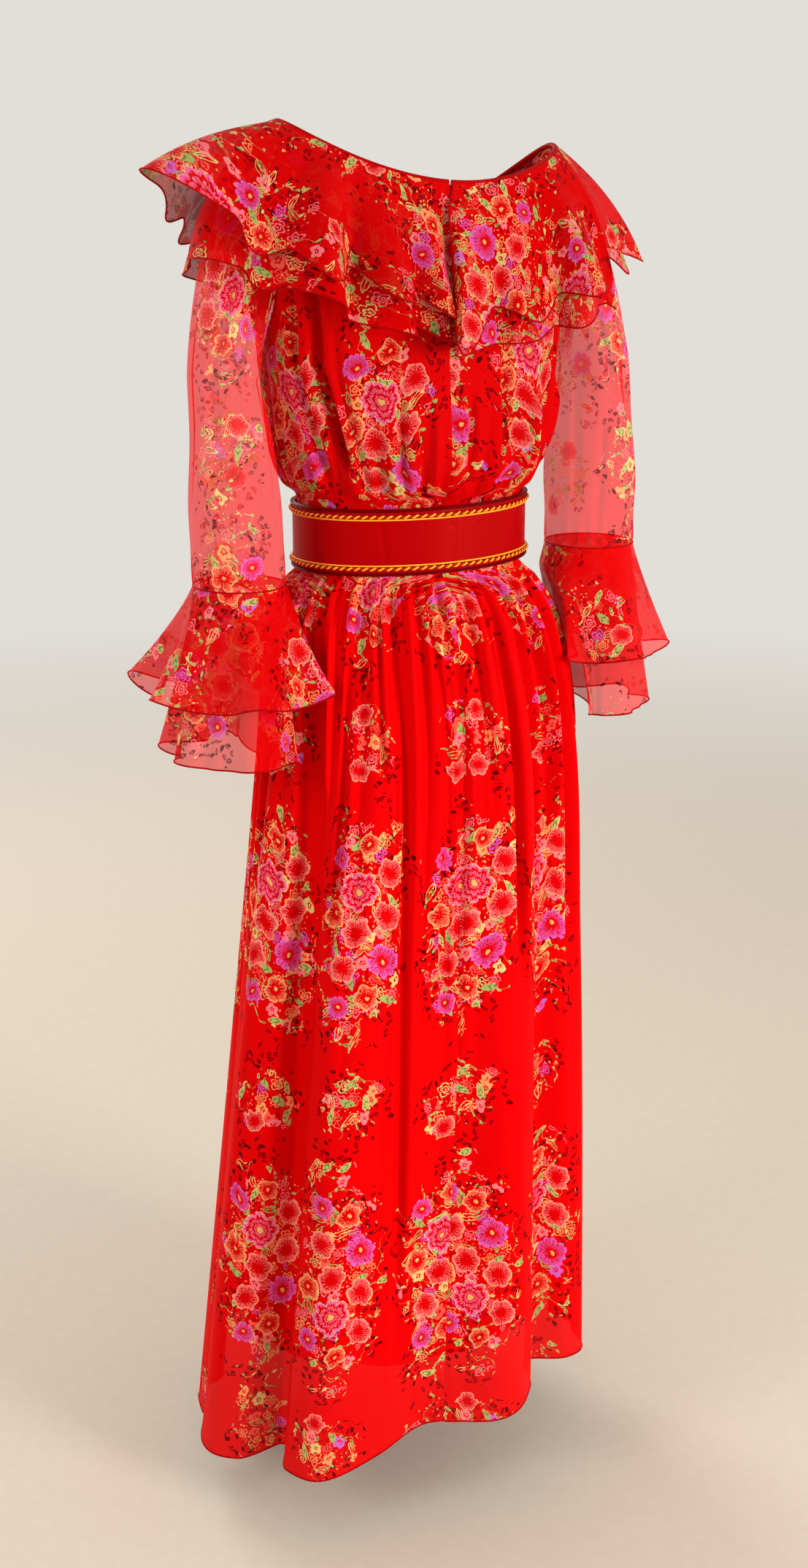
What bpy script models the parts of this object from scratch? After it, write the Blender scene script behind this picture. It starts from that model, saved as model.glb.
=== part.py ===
"""A worn ruffle maxi dress with a gathered skirt, wide belt, sheer sleeves, flounced cuffs and collar.

Metres, +Z up. The front faces -Y and the wearer's left is +X. The origin is the middle of the neck opening at
shoulder height, where the dress is held. Every cloth piece is a mid-surface, worked out from named sizes and
short tables, that a Solidify modifier gives its wall.
"""

import math

import bmesh
import bpy
from mathutils import Vector

# Walls and gaps
LINED_WALL = 0.0014
SHEER_WALL = 0.0011
SEAM_GAP = 0.0003
SEAM_ALLOWANCE = 1.2  # widens a half seam where walls lean over it

# Neckline: a wide scoop that has slipped a little to the wearer's right
NECK_CENTRE_X = -0.008
NECK_HALF_WIDTH = 0.149
NECK_BACK_DEPTH = 0.085
NECK_FRONT_DEPTH = 0.100
NECK_BACK_DROP = 0.047
NECK_FRONT_DROP = 0.085
NECK_TILT = 0.010
NECK_DROP_POWER = 1.8

# Bodice
WAIST_SEAM_Z = -0.394
CHEST_Z = -0.218
CHEST_POWER = 2.4
BODICE_COLUMNS = 68
BODICE_RINGS = (  # z, half width, depth at the back, depth at the front, gather depth
    (WAIST_SEAM_Z + 0.5 * SEAM_GAP, 0.1195, 0.0925, 0.0925, 0.0000),
    (-0.353, 0.1205, 0.0935, 0.0935, 0.0006),
    (-0.339, 0.1370, 0.1110, 0.1120, 0.0042),
    (-0.305, 0.1455, 0.1170, 0.1210, 0.0040),
    (CHEST_Z, 0.1570, 0.1090, 0.1220, 0.0012),
)
BODICE_TOP_STEPS = (0.34, 0.67, 1.0)
BODICE_GATHERS = 18

# Armholes, as ellipses that lean in towards the armpit
SHOULDER_TIP = Vector((0.172, 0.0, -0.030))
ARMPIT = Vector((0.1600, 0.0, -0.190))
ARMHOLE_HALF_DEPTH = 0.055
ARMHOLE_INSET = 0.006
SHOULDER_SEAM_HALF = 0.0006
OVER_SHOULDER_RISE = 0.35
ARMHOLE_ACROSS = 0.8
UNDERARM_ANGLE = 22.0
ARMHOLE_ANGLE = 42.0
SHOULDER_SEAM_ANGLE = 50.0

# Sleeves
SLEEVE_COLUMNS = 20
SLEEVE_TIP_GAP = 0.0010
SLEEVE_ARMPIT_GAP = 0.0020
SLEEVE_CAP_STEPS = (0.0, 0.16, 0.38, 0.68)
SLEEVE_CAP_LEAVING = (0.100, 0.010)  # outward and up, at the shoulder tip
SLEEVE_UNDER_LEAVING = (0.010, -0.030)  # outward and up, at the armpit
SLEEVE_DROP_UNDER = 0.035
SLEEVE_DROP_OUTER = 0.160
SLEEVE_RINGS = (  # z, arm centre x, arm centre y, half width, half depth
    (-0.235, 0.2045, 0.012, 0.0350, 0.0480),
    (-0.300, 0.2000, 0.020, 0.0415, 0.0500),
    (-0.370, 0.1995, 0.026, 0.0470, 0.0520),
    (-0.437, 0.1985, 0.030, 0.0470, 0.0500),
)

SIDES = (  # name, side, rise of the cuff seam, spread of the cuff flounces
    ("left", 1.0, 0.000, 1.00),
    ("right", -1.0, 0.020, 0.76),
)

# Cuff flounces
CUFF_COLUMNS = 36
CUFF_ROWS = 3
UPPER_CUFF = (0.122, 0.034, 1, 0.0, 0.004)  # length, flare, fold column, step inwards, clearance
LOWER_CUFF = (0.180, 0.020, 2, 0.0018, 0.009)
CUFF_FOLDS = (  # angle, reach of the upper tier, reach of the lower tier, half width
    (16.0, 0.026, 0.016, 30.0),
    (82.0, 0.028, 0.020, 30.0),
    (148.0, 0.032, 0.016, 30.0),
    (212.0, 0.008, 0.008, 30.0),
    (268.0, 0.026, 0.018, 26.0),
    (328.0, 0.040, 0.026, 30.0),
)
CLEARANCE_ROUNDING = 0.06
CUFF_FOLD_GROWTH = 1.3

# Collar flounces, fanned out round the neckline
COLLAR_COLUMNS = 100
COLLAR_ROWS = 3
COLLAR_OPENING = 0.9
UPPER_COLLAR_LENGTH = 0.138
LOWER_COLLAR_LENGTH = 0.163
COLLAR_TROUGH_RISE = 0.13
COLLAR_FOLD_GROWTH = 1.4
COLLAR_FALL_STEPS = 12
LOWER_COLLAR_LIFT = 0.0022
UPPER_COLLAR_LIFT = 0.0046
COLLAR_FALL = (  # angle round the neck, tilt from the vertical at the neckline, tilt at the edge
    (10.0, 74.0, 32.0),
    (34.0, 46.0, 12.0),
    (60.0, 27.0, 6.0),
    (90.0, 16.0, 6.0),
    (120.0, 28.0, 5.0),
    (152.0, 44.0, 3.0),
    (180.0, 50.0, 2.0),
    (208.0, 50.0, 4.0),
    (240.0, 36.0, 8.0),
    (270.0, 30.0, 12.0),
    (300.0, 44.0, 16.0),
    (338.0, 57.0, 12.0),
)
COLLAR_FOLDS = (  # angle, reach of the upper tier, reach of the lower tier, half width, lean
    (10.0, 0.044, 0.024, 12.0, 0.000),
    (26.0, 0.010, 0.010, 8.0, -0.004),
    (40.0, 0.030, 0.020, 10.0, 0.018),
    (59.0, 0.034, 0.022, 9.0, 0.022),
    (76.0, 0.020, 0.014, 8.0, 0.012),
    (98.0, 0.034, 0.022, 8.0, -0.008),
    (116.0, 0.014, 0.012, 9.0, 0.004),
    (135.0, 0.034, 0.022, 9.0, -0.018),
    (155.0, 0.026, 0.018, 9.0, -0.012),
    (175.0, 0.028, 0.016, 10.0, -0.006),
    (198.0, 0.026, 0.016, 11.0, 0.006),
    (220.0, 0.030, 0.018, 11.0, 0.010),
    (243.0, 0.024, 0.016, 10.0, 0.006),
    (266.0, 0.030, 0.018, 10.0, 0.000),
    (290.0, 0.024, 0.018, 10.0, -0.006),
    (313.0, 0.030, 0.018, 11.0, -0.010),
    (337.0, 0.020, 0.012, 11.0, -0.006),
    (354.0, 0.016, 0.010, 9.0, 0.000),
)

# Neck binding
BINDING_RADIUS = 0.0030
BINDING_GAP = 0.0012
BINDING_POINTS = 44

# Skirt
SKIRT_COLUMNS = 128
SKIRT_GATHERS = 34
SKIRT_RINGS = (  # z, half width, half depth, centre x, centre y, gather depth, fold share
    (WAIST_SEAM_Z - 0.5 * SEAM_GAP, 0.1195, 0.0925, 0.000, 0.000, 0.0000, 0.00),
    (-0.434, 0.1205, 0.0935, 0.000, 0.000, 0.0006, 0.00),
    (-0.450, 0.1370, 0.1100, -0.001, 0.001, 0.0042, 0.02),
    (-0.486, 0.1550, 0.1240, -0.004, 0.003, 0.0046, 0.08),
    (-0.600, 0.1740, 0.1430, -0.008, 0.005, 0.0020, 0.26),
    (-0.840, 0.1910, 0.1640, 0.004, 0.008, 0.0004, 0.60),
    (-1.120, 0.2090, 0.1820, 0.019, 0.010, 0.0000, 0.86),
    (-1.387, 0.2260, 0.1960, 0.033, 0.010, 0.0000, 1.00),
)
SKIRT_FOLDS = (  # angle, reach at the hem, half width
    (15.0, 0.022, 17.0),
    (34.0, -0.040, 9.0),
    (52.0, 0.024, 17.0),
    (84.0, -0.026, 20.0),
    (108.0, 0.020, 14.0),
    (126.0, -0.026, 9.0),
    (141.0, 0.020, 13.0),
    (166.0, -0.026, 11.0),
    (186.0, 0.022, 15.0),
    (208.0, -0.030, 10.0),
    (228.0, 0.024, 15.0),
    (250.0, -0.030, 10.0),
    (272.0, 0.022, 15.0),
    (292.0, -0.034, 10.0),
    (314.0, 0.024, 15.0),
    (338.0, -0.028, 11.0),
)
HEM_RISE_GROWTH = 3.0
HEM_RISE = (  # angle, rise of the hem
    (0.0, -0.026),
    (20.0, -0.032),
    (50.0, -0.018),
    (90.0, 0.020),
    (128.0, 0.046),
    (170.0, 0.040),
    (240.0, 0.020),
    (300.0, -0.006),
)

# Skirt lining, shorter than the skirt and joined to it at the waist
LINING_COLUMNS = 36
LINING_RINGS = (  # z, half width, half depth, centre x, centre y
    (WAIST_SEAM_Z - 0.5 * SEAM_GAP, 0.1178, 0.0908, 0.000, 0.000),
    (-0.438, 0.1165, 0.0895, 0.000, 0.000),
    (-0.486, 0.1370, 0.1080, -0.003, 0.002),
    (-0.720, 0.1590, 0.1290, -0.002, 0.006),
    (-1.000, 0.1690, 0.1410, 0.012, 0.009),
    (-1.300, 0.1800, 0.1520, 0.027, 0.010),
)

# Belt, lapped at the centre front
BELT_Z = -0.3935
BELT_HEIGHT = 0.068
BELT_HALF_WIDTH = 0.1240
BELT_HALF_DEPTH = 0.0970
BELT_WALL = 0.0026
BELT_TILT = -0.026
BELT_LAP = 18.0
BELT_STEPS = 44
TRIM_STEPS = 38
BELT_FRONT = 270.0
TRIM_GAP = 0.0005
TRIM_END = 1.5
BRAID_RADIUS = 0.0025
BRAID_INSET = 0.0075
EDGE_RADIUS = 0.0017

# Colours, as linear values
PRINT_RED = (0.62, 0.012, 0.014)
SHEER_RED = (0.72, 0.030, 0.032)
LINING_RED = (0.50, 0.006, 0.010)
BELT_RED = (0.42, 0.004, 0.010)
BRAID_ORANGE = (0.80, 0.25, 0.030)
EDGE_MAROON = (0.12, 0.003, 0.012)


def cos_deg(angle):
    return math.cos(math.radians(angle))


def sin_deg(angle):
    return math.sin(math.radians(angle))


def apart(angle, other):
    """The signed difference of two angles in degrees, from -180 to 180."""
    return (angle - other + 180.0) % 360.0 - 180.0


def smooth(share):
    return share * share * (3.0 - 2.0 * share)


def bump(distance):
    """A rounded fold: 1 at its crest, and 0 from one half width away."""
    return math.cos(0.5 * math.pi * distance) ** 2 if abs(distance) < 1.0 else 0.0


def round_table(angle, rows, column):
    """A column of a table whose first column is an angle, read smoothly round the full turn."""
    angle %= 360.0
    for i, row in enumerate(rows):
        after = rows[(i + 1) % len(rows)]
        end = after[0] if after[0] > row[0] else after[0] + 360.0
        if row[0] <= angle <= end:
            share = smooth((angle - row[0]) / (end - row[0]))
            return row[column] * (1.0 - share) + after[column] * share
    return rows[0][column]


def hermite(start, leaving, end, arriving, share):
    """A point on the smooth curve between two points with the given tangents."""
    squared, cubed = share ** 2, share ** 3
    return (
        start * (2.0 * cubed - 3.0 * squared + 1.0)
        + leaving * (cubed - 2.0 * squared + share)
        + end * (3.0 * squared - 2.0 * cubed)
        + arriving * (cubed - squared)
    )


def material(name, colour, roughness):
    made = bpy.data.materials.new(name)
    made.use_nodes = True
    shader = made.node_tree.nodes["Principled BSDF"]
    shader.inputs["Base Color"].default_value = (*colour, 1.0)
    shader.inputs["Roughness"].default_value = roughness
    return made


def sheet(name, rows, wall, finish, closed=False):
    """A cloth piece: rows of points made a mid-surface, with a wall from Solidify."""
    mesh = bpy.data.meshes.new(name)
    grid = bmesh.new()
    lines = [[grid.verts.new(point) for point in row] for row in rows]
    columns = len(rows[0])
    for low, high in zip(lines, lines[1:]):
        for i in range(columns if closed else columns - 1):
            after = (i + 1) % columns
            grid.faces.new((low[i], low[after], high[after], high[i]))
    bmesh.ops.recalc_face_normals(grid, faces=grid.faces)
    grid.to_mesh(mesh)
    grid.free()
    mesh.shade_smooth()
    mesh.materials.append(finish)
    piece = bpy.data.objects.new(name, mesh)
    bpy.context.scene.collection.objects.link(piece)
    solidify = piece.modifiers.new("wall", "SOLIDIFY")
    solidify.thickness = wall
    solidify.offset = 0.0
    solidify.use_even_offset = False
    return piece


def tube(name, points, radius, finish, roundness=0):
    """A round trim along a line of points, with closed ends."""
    curve = bpy.data.curves.new(name, "CURVE")
    curve.dimensions = "3D"
    curve.bevel_depth = radius
    curve.bevel_resolution = roundness
    curve.use_fill_caps = True
    spline = curve.splines.new("POLY")
    spline.points.add(len(points) - 1)
    for knot, point in zip(spline.points, points):
        knot.co = (*point, 1.0)
    curve.materials.append(finish)
    piece = bpy.data.objects.new(name, curve)
    bpy.context.scene.collection.objects.link(piece)
    return piece


def neckline(angle):
    """A point of the neckline seam. Angle 0 is the wearer's left shoulder and 90 the centre back."""
    back = sin_deg(angle) >= 0.0
    depth = NECK_BACK_DEPTH if back else NECK_FRONT_DEPTH
    drop = NECK_BACK_DROP if back else NECK_FRONT_DROP
    return Vector((
        NECK_CENTRE_X + NECK_HALF_WIDTH * cos_deg(angle),
        depth * sin_deg(angle),
        NECK_TILT * cos_deg(angle) - drop * abs(sin_deg(angle)) ** NECK_DROP_POWER,
    ))


def neck_outward(angle):
    """The level direction away from the neckline."""
    depth = NECK_BACK_DEPTH if sin_deg(angle) >= 0.0 else NECK_FRONT_DEPTH
    return Vector((cos_deg(angle) / NECK_HALF_WIDTH, sin_deg(angle) / depth, 0.0)).normalized()


def rounded(angle, power):
    """Cosine and sine of a superellipse, squarer than an ellipse where power is over 2."""
    c, s = cos_deg(angle), sin_deg(angle)
    return (
        math.copysign(abs(c) ** (2.0 / power), c),
        math.copysign(abs(s) ** (2.0 / power), s),
    )


def bodice_ring(angle, ring):
    """A point of the bodice below the armholes."""
    z, half_width, back_depth, front_depth, gather = ring
    power = 2.0 + (CHEST_POWER - 2.0) * (z - WAIST_SEAM_Z) / (CHEST_Z - WAIST_SEAM_Z)
    c, s = rounded(angle, power)
    depth = back_depth if s >= 0.0 else front_depth
    swell = 1.0 + gather * sin_deg(angle * BODICE_GATHERS) / half_width
    return Vector((half_width * c * swell, depth * s * swell, z))


def armhole(side, turn):
    """A point of an armhole. Turn 90 is the shoulder tip, -90 the armpit, 0 the back and 180 the front."""
    share = 0.5 + 0.5 * sin_deg(turn)
    place = ARMPIT.lerp(SHOULDER_TIP, share)
    place.y = ARMHOLE_HALF_DEPTH * cos_deg(turn)
    place.x = side * (place.x - ARMHOLE_INSET * cos_deg(turn) ** 2)
    place.z += NECK_TILT * side * share
    return place


def bodice_top(angle):
    """The top edge of the bodice, and the direction in which its cloth arrives there."""
    front = -1.0 if sin_deg(angle) < 0.0 else 1.0
    side = 1.0 if cos_deg(angle) >= 0.0 else -1.0
    from_side = abs(apart(angle, 0.0 if side > 0.0 else 180.0))
    over = Vector((0.0, -front, OVER_SHOULDER_RISE)).normalized()
    across = Vector((side * ARMHOLE_ACROSS, -front, OVER_SHOULDER_RISE)).normalized()
    if from_side <= ARMHOLE_ANGLE:
        share = max(0.0, (from_side - UNDERARM_ANGLE) / (ARMHOLE_ANGLE - UNDERARM_ANGLE))
        turn = 90.0 * share if share > 0.0 else 90.0 * (from_side / UNDERARM_ANGLE - 1.0)
        if front < 0.0:
            turn = 180.0 - turn
        place = armhole(side, turn)
        place.y = front * max(abs(place.y), SHOULDER_SEAM_HALF * share)
        return place, Vector((0.0, 0.0, 1.0)).lerp(across, math.sqrt(share))
    neck_point = neckline(0.0 if side > 0.0 else 180.0)
    if from_side <= SHOULDER_SEAM_ANGLE:
        share = (from_side - ARMHOLE_ANGLE) / (SHOULDER_SEAM_ANGLE - ARMHOLE_ANGLE)
        place = armhole(side, 90.0).lerp(neck_point, share)
        place.y = front * SHOULDER_SEAM_HALF
        return place, across.lerp(over, share)
    round_neck = 90.0 * (from_side - SHOULDER_SEAM_ANGLE) / (90.0 - SHOULDER_SEAM_ANGLE)
    on_neck = front * round_neck if side > 0.0 else front * (180.0 - round_neck)
    share = smooth(round_neck / 90.0)
    up = Vector((0.0, -0.30 * front, 1.0)).normalized()
    place = neckline(on_neck)
    place.y = front * max(abs(place.y), SHOULDER_SEAM_HALF)
    return place, over.lerp(up, share)


def bodice_column(angle):
    """The points of one bodice column, from the waist seam to its top edge."""
    points = [bodice_ring(angle, ring) for ring in BODICE_RINGS]
    chest = points[-1]
    top, arriving = bodice_top(angle)
    span = (top - chest).length
    for step in BODICE_TOP_STEPS:
        points.append(hermite(chest, Vector((0.0, 0.0, span)), top, arriving * span, step))
    return points


def spaced_angles(start, end, count):
    return [start + (end - start) * i / (count - 1) for i in range(count)]


def bodice_panel(name, start, end, finish):
    """A bodice panel between two angles, drawn in by half a seam at each side."""
    inset = math.degrees(0.5 * SEAM_GAP / ARMPIT.x) * SEAM_ALLOWANCE
    count = round(BODICE_COLUMNS * (end - start) / 360.0) + 1
    columns = [bodice_column(a) for a in spaced_angles(start + inset, end - inset, count)]
    return sheet(name, list(zip(*columns)), LINED_WALL, finish)


def sleeve_ring(side, rise, turn, ring):
    z, centre_x, centre_y, half_width, half_depth = ring
    return Vector((
        side * (centre_x + half_width * sin_deg(turn)),
        centre_y + half_depth * cos_deg(turn),
        z + rise * (z - SLEEVE_RINGS[0][0]) / (SLEEVE_RINGS[-1][0] - SLEEVE_RINGS[0][0]),
    ))


def sleeve_column(side, rise, turn):
    """The points of one sleeve column, over the cap and down the arm to the cuff seam."""
    outer = 0.5 + 0.5 * sin_deg(turn)
    gap = SLEEVE_ARMPIT_GAP + (SLEEVE_TIP_GAP - SLEEVE_ARMPIT_GAP) * outer
    start = armhole(side, turn) + Vector((side * gap, 0.0, 0.0))
    upper_arm = sleeve_ring(side, rise, turn, SLEEVE_RINGS[0])
    cap = Vector((side * SLEEVE_CAP_LEAVING[0], 0.0, SLEEVE_CAP_LEAVING[1]))
    under = Vector((side * SLEEVE_UNDER_LEAVING[0], 0.0, SLEEVE_UNDER_LEAVING[1]))
    leaving = under.lerp(cap, outer)
    drop = SLEEVE_DROP_UNDER + (SLEEVE_DROP_OUTER - SLEEVE_DROP_UNDER) * outer
    arriving = Vector((0.0, 0.0, -drop))
    points = [hermite(start, leaving, upper_arm, arriving, step) for step in SLEEVE_CAP_STEPS]
    return points + [sleeve_ring(side, rise, turn, ring) for ring in SLEEVE_RINGS]


def sleeve(name, side, rise, finish):
    columns = [sleeve_column(side, rise, 360.0 * i / SLEEVE_COLUMNS) for i in range(SLEEVE_COLUMNS)]
    return sheet(name, list(zip(*columns)), SHEER_WALL, finish, closed=True)


def skirt_sizes(z):
    """The row of skirt sizes at a height, read between the rings."""
    rings = SKIRT_RINGS
    for above, below in zip(rings, rings[1:]):
        if z >= below[0]:
            share = min(1.0, max(0.0, (above[0] - z) / (above[0] - below[0])))
            return [a * (1.0 - share) + b * share for a, b in zip(above, below)]
    return list(rings[-1])


def clear_of_skirt(point, clearance, strength):
    """The point, moved out smoothly where it would be nearer to the skirt than its clearance."""
    _, half_width, half_depth, centre_x, centre_y, gather, share = skirt_sizes(point.z)
    reach = gather + share * max(row[1] for row in SKIRT_FOLDS) + clearance
    x, y = point.x - centre_x, point.y - centre_y
    ratio = math.hypot(x / (half_width + reach), y / (half_depth + reach))
    beyond = math.log1p(math.exp((ratio - 1.0) / CLEARANCE_ROUNDING)) * CLEARANCE_ROUNDING
    moved = 1.0 + strength * ((1.0 + beyond) / ratio - 1.0)
    return Vector((centre_x + x * moved, centre_y + y * moved, point.z))


def cuff_point(side, rise, spread, angle, share, tier):
    """A point of a cuff flounce, at a share of its length down from the sleeve."""
    length, flare, fold_column, top_radius_step, clearance = tier
    z, centre_x, centre_y, half_width, half_depth = SLEEVE_RINGS[-1]
    folds = sum(row[fold_column] * bump(apart(angle, row[0]) / row[3]) for row in CUFF_FOLDS)
    out = spread * (flare * share + folds * share ** CUFF_FOLD_GROWTH)
    down = math.sqrt(max((length * share) ** 2 - out ** 2, 0.0))
    point = Vector((
        side * (centre_x + (half_width - top_radius_step + out) * cos_deg(angle)),
        centre_y + (half_depth - top_radius_step + out) * sin_deg(angle),
        z + rise - SEAM_GAP - down,
    ))
    return clear_of_skirt(point, clearance, min(1.0, share * CUFF_ROWS))


def cuff(name, side, rise, spread, tier, finish):
    angles = [360.0 * i / CUFF_COLUMNS for i in range(CUFF_COLUMNS)]
    rows = [
        [cuff_point(side, rise, spread, a, row / CUFF_ROWS, tier) for a in angles]
        for row in range(CUFF_ROWS + 1)
    ]
    return sheet(name, rows, SHEER_WALL, finish, closed=True)


def collar_ray(angle, distance, length):
    """A point on the smooth fall of the collar and the direction out of its face there."""
    outward = neck_outward(angle)
    start_tilt = round_table(angle, COLLAR_FALL, 1)
    end_tilt = round_table(angle, COLLAR_FALL, 2)
    place = neckline(angle)
    step = distance / COLLAR_FALL_STEPS
    for i in range(COLLAR_FALL_STEPS):
        tilt = start_tilt + (end_tilt - start_tilt) * (i + 0.5) * step / length
        place = place + (outward * sin_deg(tilt) - Vector((0.0, 0.0, cos_deg(tilt)))) * step
    tilt = start_tilt + (end_tilt - start_tilt) * distance / length
    return place, outward * cos_deg(tilt) + Vector((0.0, 0.0, sin_deg(tilt)))


def collar_point(angle, share, length, lift, column):
    """A point of a collar tier, whose edge hangs lower at the crest of each fold than between them."""
    reach, lean, height = 0.0, 0.0, 0.0
    for row in COLLAR_FOLDS:
        crest = bump(apart(angle, row[0]) / row[3])
        reach += row[column] * crest
        lean += row[4] * crest
        height += crest
    hanging = 1.0 - COLLAR_TROUGH_RISE * max(0.0, 1.0 - height) * share
    place, face = collar_ray(angle, share * length * hanging, LOWER_COLLAR_LENGTH)
    along = Vector((-neck_outward(angle).y, neck_outward(angle).x, 0.0))
    grown = share ** COLLAR_FOLD_GROWTH
    return place + face * (lift * (1.0 + share) + reach * grown) + along * lean * grown


def collar(name, length, lift, column, finish):
    """A collar flounce, open at the centre back."""
    angles = spaced_angles(90.0 + COLLAR_OPENING, 450.0 - COLLAR_OPENING, COLLAR_COLUMNS)
    rows = [
        [collar_point(a, row / COLLAR_ROWS, length, lift, column) for a in angles]
        for row in range(COLLAR_ROWS + 1)
    ]
    return sheet(name, rows, SHEER_WALL, finish)


def neck_binding(finish):
    """The rolled edge of the neckline, seated on the top edges of the bodice and both collar tiers."""
    points = []
    for angle in spaced_angles(90.0 + COLLAR_OPENING, 450.0 - COLLAR_OPENING, BINDING_POINTS):
        start, face = collar_ray(angle, 0.0, LOWER_COLLAR_LENGTH)
        tilt = round_table(angle, COLLAR_FALL, 1)
        fall = neck_outward(angle) * sin_deg(tilt) - Vector((0.0, 0.0, cos_deg(tilt)))
        points.append(start + face * 0.5 * UPPER_COLLAR_LIFT - fall * (BINDING_RADIUS + BINDING_GAP))
    return tube("neck_binding", points, BINDING_RADIUS, finish, roundness=1)


def skirt_point(angle, z):
    """A point of the skirt, with its gathers under the belt and its folds down to the hem."""
    _, half_width, half_depth, centre_x, centre_y, gather, share = skirt_sizes(z)
    folds = sum(row[1] * bump(apart(angle, row[0]) / row[2]) for row in SKIRT_FOLDS)
    out = gather * sin_deg(angle * SKIRT_GATHERS) + share * folds
    away = Vector((cos_deg(angle) / half_width, sin_deg(angle) / half_depth, 0.0)).normalized()
    rise = round_table(angle, HEM_RISE, 1) * share ** HEM_RISE_GROWTH
    base = Vector((
        centre_x + half_width * cos_deg(angle),
        centre_y + half_depth * sin_deg(angle),
        z + rise,
    ))
    return base + away * out


def skirt_panel(name, start, end, finish):
    inset = math.degrees(0.5 * SEAM_GAP / SKIRT_RINGS[0][2]) * SEAM_ALLOWANCE
    count = round(SKIRT_COLUMNS * (end - start) / 360.0) + 1
    angles = spaced_angles(start + inset, end - inset, count)
    rows = [[skirt_point(a, ring[0]) for a in angles] for ring in SKIRT_RINGS]
    return sheet(name, rows, LINED_WALL, finish)


def lining_panel(name, start, end, finish):
    """A plain panel inside the skirt, as wide as the skirt's deepest folds leave room for."""
    inset = math.degrees(0.5 * SEAM_GAP / LINING_RINGS[0][2]) * SEAM_ALLOWANCE
    count = round(LINING_COLUMNS * (end - start) / 360.0) + 1
    rows = [
        [
            Vector((centre_x + half_width * cos_deg(a), centre_y + half_depth * sin_deg(a), z))
            for a in spaced_angles(start + inset, end - inset, count)
        ]
        for z, half_width, half_depth, centre_x, centre_y in LINING_RINGS
    ]
    return sheet(name, rows, SHEER_WALL, finish)


def belt_line(angle, z, out):
    """A point of the belt's face at a height, the given distance out of its middle surface."""
    turned = (angle - BELT_FRONT + BELT_LAP) / 360.0
    spiral = (BELT_WALL + SEAM_GAP) * max(0.0, turned)
    x = (BELT_HALF_WIDTH + out + spiral) * cos_deg(angle)
    y = (BELT_HALF_DEPTH + out + spiral) * sin_deg(angle)
    return Vector((x, y, z + BELT_TILT * x))


def belt_panel(finish):
    """The belt's band, whose two ends lap at the centre front."""
    low, high = BELT_Z - 0.5 * BELT_HEIGHT, BELT_Z + 0.5 * BELT_HEIGHT
    angles = spaced_angles(BELT_FRONT - BELT_LAP, BELT_FRONT + 360.0, BELT_STEPS)
    rows = [[belt_line(a, z, 0.0) for a in angles] for z in (low, high)]
    return sheet("belt_panel", rows, BELT_WALL, finish)


def belt_trim(name, z, radius, finish, roundness):
    """A cord on the belt's face, from the lap right round to the end of the belt's top layer."""
    out = 0.5 * BELT_WALL + radius + TRIM_GAP
    angles = spaced_angles(BELT_FRONT + TRIM_END, BELT_FRONT + 360.0 - TRIM_END, TRIM_STEPS)
    return tube(name, [belt_line(a, z, out) for a in angles], radius, finish, roundness)


def build():
    for old in list(bpy.data.objects):
        bpy.data.objects.remove(old)
    printed = material("printed_chiffon", PRINT_RED, 0.62)
    sheer = material("sheer_chiffon", SHEER_RED, 0.60)
    lining = material("lining_satin", LINING_RED, 0.42)
    band = material("belt_band", BELT_RED, 0.34)
    braid = material("braid", BRAID_ORANGE, 0.55)
    piping = material("belt_piping", EDGE_MAROON, 0.40)

    bodice_panel("bodice_back_left", 0.0, 90.0, printed)
    bodice_panel("bodice_back_right", 90.0, 180.0, printed)
    bodice_panel("bodice_front", 180.0, 360.0, printed)
    skirt_panel("skirt_back_left", 0.0, 90.0, printed)
    skirt_panel("skirt_back_right", 90.0, 180.0, printed)
    skirt_panel("skirt_front", 180.0, 360.0, printed)
    lining_panel("lining_back_left", 0.0, 90.0, lining)
    lining_panel("lining_back_right", 90.0, 180.0, lining)
    lining_panel("lining_front", 180.0, 360.0, lining)
    for word, side, rise, spread in SIDES:
        sleeve(f"sleeve_{word}", side, rise, sheer)
        cuff(f"cuff_upper_{word}", side, rise, spread, UPPER_CUFF, sheer)
        cuff(f"cuff_lower_{word}", side, rise, spread, LOWER_CUFF, sheer)
    collar("collar_lower", LOWER_COLLAR_LENGTH, LOWER_COLLAR_LIFT, 2, sheer)
    collar("collar_upper", UPPER_COLLAR_LENGTH, UPPER_COLLAR_LIFT, 1, sheer)
    neck_binding(printed)
    belt_panel(band)
    half = 0.5 * BELT_HEIGHT
    for word, sign in (("top", 1.0), ("bottom", -1.0)):
        belt_trim(f"belt_braid_{word}", BELT_Z + sign * (half - BRAID_INSET), BRAID_RADIUS, braid, 1)
        belt_trim(f"belt_edge_{word}", BELT_Z + sign * (half - EDGE_RADIUS), EDGE_RADIUS, piping, 0)


build()
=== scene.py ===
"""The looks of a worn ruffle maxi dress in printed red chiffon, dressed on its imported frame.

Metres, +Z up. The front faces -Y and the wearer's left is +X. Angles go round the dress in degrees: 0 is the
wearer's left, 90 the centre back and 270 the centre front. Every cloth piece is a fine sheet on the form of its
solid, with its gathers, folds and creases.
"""

import sys

import logging
import math
from collections.abc import Callable
from dataclasses import dataclass, field
from enum import Enum

import bpy
import numpy as np
from mathutils import Matrix, Vector


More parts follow.
